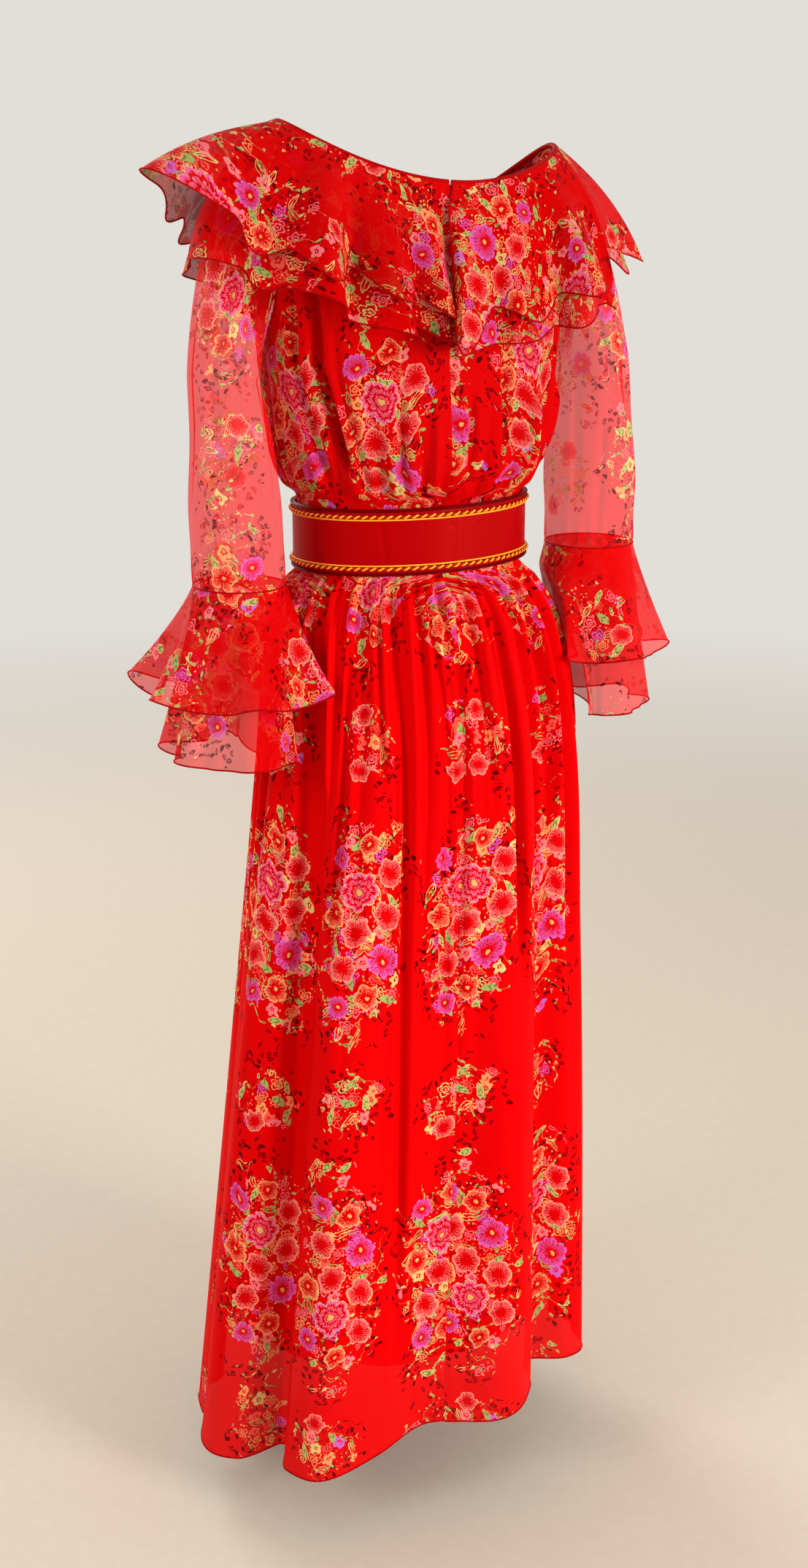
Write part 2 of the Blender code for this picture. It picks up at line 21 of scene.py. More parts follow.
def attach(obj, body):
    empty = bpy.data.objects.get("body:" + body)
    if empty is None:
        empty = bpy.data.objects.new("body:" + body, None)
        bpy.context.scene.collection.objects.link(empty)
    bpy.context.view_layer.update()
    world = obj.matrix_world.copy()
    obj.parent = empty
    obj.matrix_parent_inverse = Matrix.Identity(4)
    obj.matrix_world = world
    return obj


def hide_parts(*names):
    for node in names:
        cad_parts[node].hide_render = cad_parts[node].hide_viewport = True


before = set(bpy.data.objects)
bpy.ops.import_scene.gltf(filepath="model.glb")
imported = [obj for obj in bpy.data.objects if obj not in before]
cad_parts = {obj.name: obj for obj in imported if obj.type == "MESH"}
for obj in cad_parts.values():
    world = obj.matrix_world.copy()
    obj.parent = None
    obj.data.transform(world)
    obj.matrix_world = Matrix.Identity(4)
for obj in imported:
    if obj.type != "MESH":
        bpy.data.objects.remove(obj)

BODY = "root"
CLOTH_UV = "cloth"
Array = np.ndarray
Piece = bpy.types.Object
Finish = bpy.types.Material
Colour = tuple[float, float, float]
Pair = tuple[float, float]
Rows = tuple[tuple[float, ...], ...]

log = logging.getLogger("dress")


def cosd(angle: Array) -> Array:
    """Cosine of an angle in degrees."""
    return np.cos(np.radians(angle))


def sind(angle: Array) -> Array:
    """Sine of an angle in degrees."""
    return np.sin(np.radians(angle))


def apart(angle: Array, other: float) -> Array:
    """The signed difference of two angles in degrees, from -180 to 180."""
    return (angle - other + 180.0) % 360.0 - 180.0


def smooth(share: Array) -> Array:
    """A soft step from 0 to 1."""
    share = np.clip(share, 0.0, 1.0)
    return share * share * (3.0 - 2.0 * share)


def fade(value: Array, start: float, end: float) -> Array:
    """A soft step that is 0 at start and 1 at end, whichever of the two is higher."""
    return smooth((value - start) / (end - start))


def bump(distance: Array) -> Array:
    """A rounded fold: 1 at its crest, and 0 from one half width away."""
    return np.cos(0.5 * np.pi * np.clip(distance, -1.0, 1.0)) ** 2


def bumps(angle: Array, rows: Rows, column: int = 1, width: int = 2) -> Array:
    """The bumps of a table added up. Its rows have the angle first, then heights and the half width."""
    return sum(row[column] * bump(apart(angle, row[0]) / row[width]) for row in rows)


def pleated(phase: Array) -> Array:
    """Gathers with round ridges and narrow valleys, one for each half turn of the phase, level on average."""
    valley_width, mean = 0.01, 1.28
    return 2.0 * np.sqrt(sind(phase) ** 2 + valley_width) - mean


def round_table(angle: Array, rows: tuple, column: int) -> Array:
    """Reads a column of a table whose first column is an angle, smoothly round the full turn.

    Args:
        angle: The angles to read at.
        rows: The table, its angles rising.
        column: The column to read.

    Returns:
        The column's value at each angle.
    """
    table = np.array(rows)
    at = np.append(table[:, 0], table[0, 0] + 360.0)
    values = np.append(table[:, column], table[0, column])
    turned = (angle - at[0]) % 360.0 + at[0]
    i = np.clip(np.searchsorted(at, turned, side="right") - 1, 0, len(rows) - 1)
    share = smooth((turned - at[i]) / (at[i + 1] - at[i]))
    return values[i] * (1.0 - share) + values[i + 1] * share


def read_rings(z: Array, rings: tuple) -> list[Array]:
    """Reads a table of rings at any height, by a smooth curve that never overshoots a row.

    Args:
        z: The heights to read at.
        rings: The rows, each with its height first.

    Returns:
        One array for each of the other columns.
    """
    table = np.array(sorted(rings))
    x, y = table[:, 0], table[:, 1:]
    step = np.diff(x)[:, None]
    slope = np.diff(y, axis=0) / step
    product = slope[:-1] * slope[1:]
    total = slope[:-1] + slope[1:]
    tangent = np.zeros_like(y)
    tangent[1:-1] = np.where(product > 0.0, 2.0 * product / np.where(product > 0.0, total, 1.0), 0.0)
    tangent[0], tangent[-1] = slope[0], slope[-1]
    i = np.clip(np.searchsorted(x, z, side="right") - 1, 0, len(x) - 2)
    share = np.clip((z - x[i]) / step[i, 0], 0.0, 1.0)[..., None]
    width = step[i]
    read = hermite(y[i], tangent[i] * width, y[i + 1], tangent[i + 1] * width, share)
    return [read[..., k] for k in range(read.shape[-1])]


def hermite(start: Array, leaving: Array, end: Array, arriving: Array,
            share: Array) -> Array:
    """A point on the smooth curve between two points with the given tangents.

    Args:
        start: Where the curve starts.
        leaving: Its tangent there.
        end: Where it ends.
        arriving: Its tangent at the end.
        share: How far along it the point is, from 0 to 1.

    Returns:
        The point.
    """
    squared, cubed = share ** 2, share ** 3
    return (
        start * (2.0 * cubed - 3.0 * squared + 1.0)
        + leaving * (cubed - 2.0 * squared + share)
        + end * (3.0 * squared - 2.0 * cubed)
        + arriving * (cubed - squared)
    )


def stacked(*parts: Array) -> Array:
    """Points from their x, y and z arrays."""
    return np.stack(np.broadcast_arrays(*parts), axis=-1)


def unit(vectors: Array) -> Array:
    """Vectors at length 1."""
    return vectors / np.linalg.norm(vectors, axis=-1, keepdims=True)


@dataclass(frozen=True)
class Crease:
    """A soft trough or ridge on a sheet, from one place to another, each (angle, along).

    A negative depth is a trough. The two half widths are in degrees, so one flank may be steeper.
    """

    start: Pair
    end: Pair
    depth: float
    before: float
    after: float
    fading_in: float = 0.22
    fading_out: float = 0.68

    def height(self, angle: Array, along: Array) -> Array:
        """The crease's height at places on the sheet.

        Args:
            angle: The places' angles.
            along: Their other coordinate.

        Returns:
            The height above the plain sheet, in metres.
        """
        share = (along - self.start[1]) / (self.end[1] - self.start[1])
        centre = self.start[0] + (self.end[0] - self.start[0]) * np.clip(share, 0.0, 1.0)
        offset = apart(apart(angle, 0.0) - apart(centre, 0.0), 0.0)
        body = bump(np.where(offset < 0.0, offset / self.before, offset / self.after))
        return self.depth * body * fade(share, 0.0, self.fading_in) * fade(share, 1.0, self.fading_out)


def crease_rows(*rows: tuple) -> tuple[Crease, ...]:
    """Creases from rows: the start's angle and place along, the end's, then depth and both half widths."""
    return tuple(Crease(row[:2], row[2:4], *row[4:]) for row in rows)


def creases_from(start: float, *rows: tuple) -> tuple[Crease, ...]:
    """Creases that all start at one place along, which their rows leave out."""
    return crease_rows(*((row[0], start, *row[1:]) for row in rows))


def creased(creases: tuple[Crease, ...], angle: Array, along: Array) -> Array:
    """The heights of several creases together."""
    return sum((c.height(angle, along) for c in creases), np.zeros(np.broadcast(angle, along).shape))


class Slot(Enum):
    """The record's material slots."""

    LINED = "printed_chiffon"
    SHEER = "sheer_chiffon"
    LINING = "lining_satin"
    BAND = "belt_band"
    BRAID = "braid"
    PIPING = "belt_piping"


class Cut(Enum):
    """How a sheet was cut: a panel from its top edge, a sleeve from its cuff seam, or a flounce as a ring."""

    PANEL = "panel"
    SLEEVE = "sleeve"
    FLOUNCE = "flounce"


def flat_places(points: Array, cut: Cut) -> Array:
    """Where each point of a sheet lay on the flat cloth, in metres.

    Args:
        points: Rows and columns of points, the first row at the seam.
        cut: How the cloth was cut.

    Returns:
        The places, one for each point.
    """
    steps = np.linalg.norm(np.diff(points, axis=1), axis=-1)
    across = np.concatenate([np.zeros((len(points), 1)), np.cumsum(steps, axis=1)], axis=1)
    falls = np.linalg.norm(np.diff(points, axis=0), axis=-1)
    down = np.concatenate([np.zeros((1, points.shape[1])), np.cumsum(falls, axis=0)], axis=0)
    if cut is not Cut.FLOUNCE:
        middle = across[:, across.shape[1] // 2, None]
        return np.stack([across - middle, down[-1] - down if cut is Cut.SLEEVE else -down], axis=-1)
    least_fullness = 0.1
    fullness = across[-1, -1] / across[0, -1] - 1.0
    inner = down[-1].mean() / max(fullness, least_fullness)
    turn = across[0] / inner
    radius = inner + down
    return np.stack([radius * np.sin(turn), radius * np.cos(turn)], axis=-1)


@dataclass
class ClothSheet:
    """A fine sheet of cloth that stands for a node: rows and columns of points, and how it was cut."""

    node: str
    points: Array
    closed: bool = False
    cut: Cut = Cut.PANEL
    place_on_bolt: Pair = (0.0, 0.0)

    def make(self, finish: Finish, slot: Slot) -> Piece:
        """Makes the sheet's object, riding on the dress.

        Args:
            finish: Its finish.
            slot: The record's material slot; not used.

        Returns:
            The object.
        """
        rows, columns = self.points.shape[:2]
        places = flat_places(self.points, self.cut) + np.array(self.place_on_bolt)
        kept = columns - 1 if self.closed else columns
        across, down = np.arange(columns - 1), np.arange(rows - 1)[:, None]
        faces, loops = [], []
        for row, column in ((0, 0), (0, 1), (1, 1), (1, 0)):
            faces.append((down + row) * kept + (across + column) % kept)
            loops.append((down + row) * columns + across + column)
        faces, loops = (np.stack(corners, axis=-1).reshape(-1, 4) for corners in (faces, loops))
        vertices = self.points[:, :kept].reshape(-1, 3)
        corner = vertices[faces[:, 0]]
        normals = np.cross(vertices[faces[:, 1]] - corner, vertices[faces[:, 3]] - corner)
        outward = corner - vertices.mean(axis=0)
        if (normals[:, :2] * outward[:, :2]).sum() < 0.0:
            faces, loops = faces[:, ::-1], loops[:, ::-1]
        name = f"cloth_{self.node}"
        mesh = bpy.data.meshes.new(name)
        mesh.from_pydata(vertices.tolist(), [], faces.tolist())
        layer = mesh.uv_layers.new(name=CLOTH_UV)
        layer.data.foreach_set("uv", places.reshape(-1, 2)[loops.reshape(-1)].astype(np.float32).ravel())
        mesh.shade_smooth()
        piece = adopt(bpy.data.objects.new(name, mesh), finish)
        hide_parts(self.node)
        return piece


def adopt(piece: Piece, finish: Finish) -> Piece:
    """Puts a piece in the scene, dresses it and lets it ride on the dress.

    Args:
        piece: The piece, at its place.
        finish: Its finish.

    Returns:
        The piece.
    """
    if piece.name not in bpy.context.scene.objects:
        bpy.context.scene.collection.objects.link(piece)
    piece.data.materials.clear()
    piece.data.materials.append(finish)
    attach(piece, BODY)
    log.info("%s: %d faces", piece.name, len(piece.data.polygons))
    return piece


def rolled(name: str, path: Array, radius: float, finish: Finish, closed: bool = False,
           roundness: int = 1) -> Piece:
    """Makes a thin roll or cord of cloth along a path, as a mesh.

    Args:
        name: The piece's name.
        path: The points down its middle.
        radius: Its radius.
        finish: Its finish.
        closed: Whether the path runs round to its start.
        roundness: Extra sides on each quarter.

    Returns:
        The piece.
    """
    curve = bpy.data.curves.new(name, "CURVE")
    curve.dimensions = "3D"
    curve.bevel_depth = radius
    curve.bevel_resolution = roundness
    curve.use_fill_caps = not closed
    spline = curve.splines.new("POLY")
    spline.points.add(len(path) - 1)
    spline.points.foreach_set("co", np.column_stack([path, np.ones(len(path))]).ravel())
    spline.use_cyclic_u = closed
    piece = bpy.data.objects.new(name, curve)
    bpy.context.scene.collection.objects.link(piece)
    bpy.ops.object.select_all(action="DESELECT")
    piece.select_set(True)
    bpy.context.view_layer.objects.active = piece
    bpy.ops.object.convert(target="MESH")
    piece = bpy.context.view_layer.objects.active
    piece.data.shade_smooth()
    piece.select_set(False)
    return adopt(piece, finish)


def by_sign(operation: str) -> Callable[..., "Wire"]:
    """A method of Wire for a Python operator.

    Args:
        operation: The Math node's operation.

    Returns:
        The method.
    """
    def method(self: "Wire", *others: "Wire | float") -> "Wire":
        """The operation on this output and the others."""
        return self.maths(operation, *others)

    return method


class Wire:
    """An output of a shader node, on which maths is written as Python expressions. A mask is 1 inside."""

    def __init__(self, painter: "Painter", socket: bpy.types.NodeSocket) -> None:
        """Wraps a socket of the painter's tree."""
        self.painter = painter
        self.socket = socket

    def maths(self, operation: str, *others: "Wire | float") -> "Wire":
        """Adds a Math node that reads this output.

        Args:
            operation: The node's operation.
            others: Its further inputs.

        Returns:
            The node's output.
        """
        return self.painter.node("ShaderNodeMath", {"operation": operation}, dict(enumerate((self, *others))))

    def __invert__(self) -> "Wire":
        """A mask turned round."""
        return self.painter.node("ShaderNodeMath", {"operation": "SUBTRACT"}, {0: 1.0, 1: self})

    __add__ = __radd__ = by_sign("ADD")
    __sub__ = by_sign("SUBTRACT")
    __mul__ = __rmul__ = __and__ = by_sign("MULTIPLY")
    __truediv__ = by_sign("DIVIDE")
    __lt__ = by_sign("LESS_THAN")
    __gt__ = by_sign("GREATER_THAN")
    __abs__ = by_sign("ABSOLUTE")
    __or__ = by_sign("MAXIMUM")


@dataclass
class Painter:
    """Makes the nodes of one material."""

    tree: bpy.types.NodeTree

    def node(self, kind: str, settings: dict, inputs: dict, output: int = 0) -> Wire:
        """Makes a node.

        Args:
            kind: The node's type.
            settings: Its settings, such as an operation.
            inputs: A value or a link for each socket, by name or number.
            output: Which output is wanted.

        Returns:
            That output.
        """
        made = self.tree.nodes.new(kind)
        for name, value in settings.items():
            setattr(made, name, value)
        self.feed(made, inputs)
        return Wire(self, made.outputs[output])

    def feed(self, node: bpy.types.Node, inputs: dict) -> None:
        """Sets a node's inputs.

        Args:
            node: The node.
            inputs: A value or a link for each socket, by name or number.
        """
        for key, value in inputs.items():
            if isinstance(value, Wire):
                self.tree.links.new(value.socket, node.inputs[key])
            else:
                node.inputs[key].default_value = value

    def vector(self, operation: str, *values: "Wire | tuple", output: int = 0,
               scale: "Wire | float | None" = None) -> Wire:
        """Makes a Vector Math node.

        Args:
            operation: Its operation.
            values: Its vectors.
            output: 0 for a vector, 1 for a value.
            scale: The scale, for that operation.

        Returns:
            Its output.
        """
        inputs: dict = dict(enumerate(values))
        if scale is not None:
            inputs["Scale"] = scale
        return self.node("ShaderNodeVectorMath", {"operation": operation}, inputs, output)

    def length(self, vector: Wire) -> Wire:
        """The length of a vector."""
        return self.vector("LENGTH", vector, output=1)

    def joined(self, x: Wire, y: Wire) -> Wire:
        """A vector from its x and y."""
        return self.node("ShaderNodeCombineXYZ", {}, {0: x, 1: y})

    def on_object(self) -> Wire:
        """The place on the object, in metres."""
        return self.node("ShaderNodeTexCoord", {}, {}, 3)

    def split(self, vector: Wire) -> tuple[Wire, Wire]:
        """The x and y of a vector."""
        made = self.node("ShaderNodeSeparateXYZ", {}, {0: vector})
        return made, Wire(self, made.socket.node.outputs[1])

    def mixed(self, factor: Wire, low: "Wire | Colour", high: "Wire | Colour") -> Wire:
        """A colour between two others."""
        ends = [c if isinstance(c, Wire) else (*c, 1.0) for c in (low, high)]
        return self.node("ShaderNodeMix", {"data_type": "RGBA"}, {0: factor, 6: ends[0], 7: ends[1]}, 2)

    def chosen(self, factor: Wire, low: Wire, high: Wire) -> Wire:
        """A vector that is low where the factor is 0 and high where it is 1."""
        return self.node("ShaderNodeMix", {"data_type": "VECTOR"}, {0: factor, 4: low, 5: high}, 1)

    def noise(self, vector: Wire, scale: float, detail: float = 0.0, flat: bool = True) -> Wire:
        """Soft noise from 0 to 1."""
        settings = {"noise_dimensions": "2D" if flat else "3D"}
        return self.node("ShaderNodeTexNoise", settings, {"Vector": vector, "Scale": scale, "Detail": detail})

    def bumped(self, height: Wire, distance: float, strength: float) -> Wire:
        """A normal from a height."""
        return self.node("ShaderNodeBump", {}, {"Strength": strength, "Distance": distance, "Height": height})


# Dyes of the print, as linear values
GROUND_RED: Colour = (0.68, 0.0, 0.001)
DEEP_RED: Colour = (0.45, 0.0, 0.002)
LILAC: Colour = (0.54, 0.11, 0.52)
MAGENTA: Colour = (0.74, 0.085, 0.33)
CORAL: Colour = (0.86, 0.09, 0.065)
PINK: Colour = (0.88, 0.17, 0.2)
ORANGE: Colour = (0.88, 0.29, 0.11)
CREAM: Colour = (0.68, 0.48, 0.17)
OCHRE: Colour = (0.7, 0.27, 0.06)
PALE_GREEN: Colour = (0.34, 0.38, 0.11)
MOSS: Colour = (0.15, 0.18, 0.035)
MAROON: Colour = (0.12, 0.0, 0.002)


class Bloom(Enum):
    """The large flowers of the print."""

    PEONY = 0
    SERRATED = 1
    POPPY = 2
    DAISY = 3


@dataclass(frozen=True)
class BloomStyle:
    """How one kind of large flower is drawn, in shares of its radius."""

    petals: float
    heart: float
    teeth: float
    rings: float
    outer: Colour
    inner: Colour


BLOOM_STYLES: dict[Bloom, BloomStyle] = {
    Bloom.PEONY: BloomStyle(8.0, 0.2, 0.0, 1.0, MAGENTA, PINK),
    Bloom.SERRATED: BloomStyle(6.0, 0.3, 0.3, 0.0, PINK, CORAL),
    Bloom.POPPY: BloomStyle(5.0, 0.34, 0.26, 0.0, ORANGE, CORAL),
    Bloom.DAISY: BloomStyle(11.0, 0.26, 0.3, 0.0, LILAC, MAGENTA),
}


@dataclass(frozen=True)
class BloomPlace:
    """A large flower of a bouquet: its place from the bouquet's middle, its radius and its kind."""

    x: float
    y: float
    radius: float
    kind: Bloom


BOUQUET: tuple[BloomPlace, ...] = (
    BloomPlace(0.004, 0.04, 0.021, Bloom.PEONY),
    BloomPlace(-0.03, 0.06, 0.015, Bloom.SERRATED),
    BloomPlace(-0.028, 0.014, 0.016, Bloom.SERRATED),
    BloomPlace(0.034, 0.012, 0.015, Bloom.POPPY),
    BloomPlace(0.006, -0.004, 0.016, Bloom.SERRATED),
    BloomPlace(0.03, 0.072, 0.013, Bloom.DAISY),
    BloomPlace(-0.024, -0.034, 0.018, Bloom.DAISY),
    BloomPlace(0.02, -0.042, 0.015, Bloom.SERRATED),
    BloomPlace(-0.008, -0.074, 0.014, Bloom.POPPY),
    BloomPlace(0.022, -0.084, 0.012, Bloom.DAISY),
    BloomPlace(-0.004, 0.088, 0.012, Bloom.POPPY),
    BloomPlace(0.012, 0.166, 0.012, Bloom.SERRATED),
)


@dataclass(frozen=True)
class Scatter:
    """A layer of small motifs scattered over the print.

    Missing is the share of places that stay empty. Within is how far out of a bouquet the layer goes, and ragged
    how unevenly it ends.
    """

    spacing: float
    radius: float
    randomness: float
    missing: float
    within: float = 0.0
    ragged: float = 0.0


@dataclass
class FloralPrint:
    """A generic print: bouquets in a half-drop repeat, small blossoms, leaves and sprigs on plain red."""

    painter: Painter
    spread: Pair
    repeat: Pair = (0.138, 0.39)
    offset: float = 40.0
    drop: float = 0.22
    spray: Pair = (0.036, 0.044)
    shifts: tuple[Pair, ...] = ((85.0, 0.004), (330.0, 0.0014))
    spray_worth: float = 0.12
    edge: tuple[float, float, float] = (19.0, 1.05, 0.52)  # scale, depth and mean of the bouquets' ragged edge
    blossoms: Scatter = Scatter(0.0165, 0.0082, 0.7, 0.1, 0.5, 0.7)
    leaves: Scatter = Scatter(0.0185, 0.0105, 0.8, 0.5, 0.62, 0.6)
    sprigs: Scatter = Scatter(0.0084, 0.0036, 0.75, 0.2)
    buds: Scatter = Scatter(0.009, 0.0041, 0.85, 0.22)
    specks: Scatter = Scatter(0.0046, 0.0011, 0.95, 0.6, 0.6, 0.5)
    bud_ring: Pair = (0.66, 1.4)
    sprig_ring: Pair = (0.42, 1.16)
    stem_ring: Pair = (0.5, 1.1)
    colour: Wire = field(init=False)
    inked: Wire = field(init=False)

    def __post_init__(self) -> None:
        """Draws the layers, from the ground up."""
        p = self.painter
        flat = p.node("ShaderNodeUVMap", {"uv_map": CLOTH_UV}, {})
        self.place = flat
        for scale, reach in self.shifts:
            noise = {"Vector": flat, "Scale": scale, "Detail": 0.0}
            shift = p.node("ShaderNodeTexNoise", {"noise_dimensions": "2D"}, noise, 1)
            shift = p.vector("MULTIPLY_ADD", shift, (reach, reach, 0.0), (-0.5 * reach, -0.5 * reach, 0.0))
            self.place = p.vector("ADD", self.place, shift)
        self.cell = self.repeat_cell()
        self.reach = self.bouquet_reach()
        self.colour = self.ground()
        self.inked = (self.reach < 0.2) * 0.0
        for layer in (self.draw_buds, self.draw_specks, self.draw_blossoms, self.draw_sprigs, self.draw_leaves,
                      self.draw_blooms):
            layer()

    def lay(self, mask: Wire, colour: "Wire | Colour") -> None:
        """Prints a colour where a mask is 1."""
        self.colour = self.painter.mixed(mask, self.colour, colour)
        self.inked = self.inked | mask

    def repeat_cell(self) -> Wire:
        """The place inside the repeat.

        Returns:
            The place from the middle of its bouquet. Each column drops and each bouquet is mirrored by chance.
        """
        p = self.painter
        width, height = self.repeat
        u, v = p.split(self.place)
        across = u / width + self.offset
        column = across.maths("FLOOR")
        drop = p.node("ShaderNodeTexWhiteNoise", {"noise_dimensions": "1D"}, {"W": column}) * self.drop
        down = v / height + self.offset + drop
        row = down.maths("FLOOR")
        cell = {"Vector": p.joined(column, row)}
        chance = p.node("ShaderNodeTexWhiteNoise", {"noise_dimensions": "2D"}, cell)
        x = (across - column - 0.5) * width * ((chance > 0.5) * 2.0 - 1.0)
        y = (down - row - 0.5) * height * (((chance * 7.0).maths("FRACT") > 0.5) * 2.0 - 1.0)
        return p.joined(x, y)

    def bouquet_reach(self) -> Wire:
        """How far out of its bouquet a place lies.

        Returns:
            0 in the middle of a bouquet or of the small spray between two, and about 1 at its ragged edge.
        """
        p = self.painter
        wide, tall = self.spread
        bouquet = p.length(p.vector("MULTIPLY", self.cell, (1.0 / wide, 1.0 / tall, 0.0)))
        x, y = p.split(self.cell)
        far = p.joined(x / self.spray[0], (abs(y) - 0.5 * self.repeat[1]) / self.spray[1])
        nearest = bouquet.maths("MINIMUM", p.length(far) + self.spray_worth)
        scale, depth, mean = self.edge
        return nearest + p.noise(self.place, scale, 1.0) * depth - mean

    def ground(self) -> Wire:
        """The plain cloth.

        Returns:
            Its red, deeper between the flowers of a bouquet.
        """
        p = self.painter
        shade = p.noise(self.place, 230.0, 1.0)
        deep = (self.reach < 0.9) & (shade > 0.56)
        return p.mixed(deep, GROUND_RED, DEEP_RED)

    def scattered(self, layer: Scatter) -> tuple[Wire, Wire, Wire, Wire, Wire]:
        """The nearest motif of a scattered layer.

        Args:
            layer: The layer.

        Returns:
            The place from the motif's middle in shares of its radius, turned at random, its distance, and three
            chances from 0 to 1.
        """
        p = self.painter
        cells = p.node("ShaderNodeTexVoronoi", {"voronoi_dimensions": "2D"},
                       {"Vector": self.place, "Scale": 1.0 / layer.spacing, "Randomness": layer.randomness}, 1)
        middle = Wire(p, cells.socket.node.outputs[2])
        offset = p.vector("SCALE", p.vector("SUBTRACT", self.place, middle), scale=1.0 / layer.radius)
        chance = p.node("ShaderNodeSeparateColor", {}, {0: cells})
        second, third = (Wire(p, chance.socket.node.outputs[i]) for i in (1, 2))
        turned = p.node("ShaderNodeVectorRotate", {"rotation_type": "Z_AXIS"},
                        {"Vector": offset, "Angle": chance * 2.0 * math.pi})
        return turned, p.length(offset), chance, second, third

    def ring(self, limits: Pair) -> Wire:
        """The places that lie between two reaches out of a bouquet."""
        return (self.reach > limits[0]) & (self.reach < limits[1])

    def kept(self, layer: Scatter, uneven: Wire, chance: Wire) -> Wire:
        """The places near a bouquet where a layer's motif isn't missing."""
        return (self.reach - uneven * layer.ragged < layer.within) & (chance > layer.missing)

    def lobes(self, turned: Wire, petals: "Wire | float") -> Wire:
        """How near the middle of a petal a direction is, from 0 between two petals to 1."""
        x, y = self.painter.split(turned)
        return abs((y.maths("ARCTAN2", x) * petals * 0.5).maths("COSINE"))

    def draw_buds(self) -> None:
        """Small dark leaves and buds in loose drifts round the bouquets."""
        p = self.painter
        turned, _, chance, second, _ = self.scattered(self.buds)
        x, y = p.split(turned)
        shape = abs(y) * 1.9 + x * x
        drift = p.noise(self.place, 26.0) > 0.5
        here = self.ring(self.bud_ring) & drift & (second > self.buds.missing)
        hollow = (shape < 0.48) & (abs(y) > 0.08) & (chance > 0.25)
        self.lay(here & (shape < 0.95) & ~hollow, MAROON)

    def draw_specks(self) -> None:
        """Fine dots of coral and cream."""
        _, away, chance, second, _ = self.scattered(self.specks)
        here = self.kept(self.specks, chance, second)
        self.lay(here & (away < 0.9), self.painter.mixed(chance > 0.6, CORAL, ORANGE))

    def draw_blossoms(self) -> None:
        """Small five-petalled blossoms, some filled and some only outlined."""
        p = self.painter
        turned, away, chance, second, third = self.scattered(self.blossoms)
        away = away / (second * 0.35 + 0.75)
        lobe = self.lobes(turned, 5.0)
        edge = lobe * 0.36 + 0.58
        outline = abs(away - edge) < 0.075
        inner = abs(away - edge * 0.48) < 0.07
        fill = (away < edge) & (away > edge * 0.5) & ((chance * 7.3).maths("FRACT") > 0.74)
        here = self.kept(self.blossoms, third, second)
        tint = p.mixed(chance > 0.6, p.mixed(third > 0.5, CORAL, PINK), p.mixed(chance > 0.86, ORANGE, CREAM))
        tint = p.mixed((chance * 5.1).maths("FRACT") > 0.9, tint, LILAC)
        self.lay(here & (fill | outline | inner | (away < 0.13)), tint)

    def draw_sprigs(self) -> None:
        """Small oval leaves in pairs that trail out of the bouquets, on fine stems."""
        p = self.painter
        turned, _, chance, second, third = self.scattered(self.sprigs)
        x, y = p.split(turned)
        oval = x * x + y * y * 5.5
        trail = p.noise(self.place, 34.0)
        near = abs(trail - 0.5) < 0.04
        here = self.ring(self.sprig_ring) & near & (second > self.sprigs.missing)
        stem = (abs(trail - 0.5) < 0.0024) & self.ring(self.stem_ring)
        tint = p.mixed(chance > 0.78, PALE_GREEN, CREAM)
        self.lay(stem | (here & (oval < 1.0)), tint)
        self.lay(here & (oval < 0.35) & (third > 0.6), MOSS)

    def draw_leaves(self) -> None:
        """Pointed leaves with pale outlines and veins."""
        p = self.painter
        turned, _, chance, second, third = self.scattered(self.leaves)
        x, y = p.split(turned)
        blade = abs(y) * 2.6 + x * x * 0.95 + x * 0.12
        vein = abs(abs(y) - (x * 5.5 + abs(y) * 5.0).maths("SINE") * 0.03) < 0.045
        ribs = ((x * 9.0 + abs(y) * 12.0).maths("SINE") > 0.55) & (third > 0.5)
        here = self.kept(self.leaves, chance, second)
        self.lay(here & (blade < 0.92), p.mixed(third > 0.62, self.colour, PALE_GREEN))
        self.lay(here & (blade < 0.92) & ((blade > 0.72) | vein), p.mixed(chance > 0.6, PALE_GREEN, CREAM))
        self.lay(here & (blade < 0.72) & ribs, MOSS)

    def draw_blooms(self) -> None:
        """The large flowers of a bouquet."""
        p = self.painter
        nearest, best, kind = None, None, None
        for bloom in BOUQUET:
            offset = p.vector("SUBTRACT", self.cell, (bloom.x, bloom.y, 0.0))
            offset = p.vector("SCALE", offset, scale=1.0 / bloom.radius)
            away = p.length(offset)
            if nearest is None:
                nearest, best, kind = offset, away, away * 0.0 + float(bloom.kind.value)
                continue
            closer = away < best
            nearest = p.chosen(closer, nearest, offset)
            kind = kind * ~closer + closer * float(bloom.kind.value)
            best = away.maths("MINIMUM", best)
        kinds = {b: abs(kind - float(b.value)) < 0.5 for b in Bloom}
        petals, heart, teeth, rings = (sum(kinds[b] * getattr(BLOOM_STYLES[b], name) for b in Bloom)
                                       for name in ("petals", "heart", "teeth", "rings"))
        x, y = p.split(nearest)
        direction = y.maths("ARCTAN2", x)
        lobe = abs((direction * petals * 0.5).maths("COSINE"))
        edge = lobe.maths("POWER", 0.6) * 0.24 + 0.76
        bite = abs((direction * petals * 1.5).maths("SINE"))
        inside = best < edge
        tier = (best / edge * 3.0).maths("FRACT")
        ringed = (tier < bite * 0.34 + 0.16) & rings
        cut = (lobe < 0.17) & (best < 0.95) & ~rings
        red = best < heart + teeth * bite
        streak = p.noise(p.joined(direction * petals * 0.9, best * 1.5), 2.6)
        bare = (streak < 0.475) & (best < edge - 0.14)
        tint = None
        for b in Bloom:
            style = BLOOM_STYLES[b]
            own = p.mixed(streak > 0.56, style.outer, style.inner)
            tint = own if tint is None else p.mixed(kinds[b], tint, own)
        self.lay(inside & (best < 1.0), p.mixed(streak > 0.42, DEEP_RED, GROUND_RED))
        self.lay(inside & ~red & ~cut & ~ringed & ~bare, tint)
        rim = (abs(best - edge) < 0.036) & (streak > 0.46) & ~kinds[Bloom.DAISY]
        self.lay(rim, CREAM)
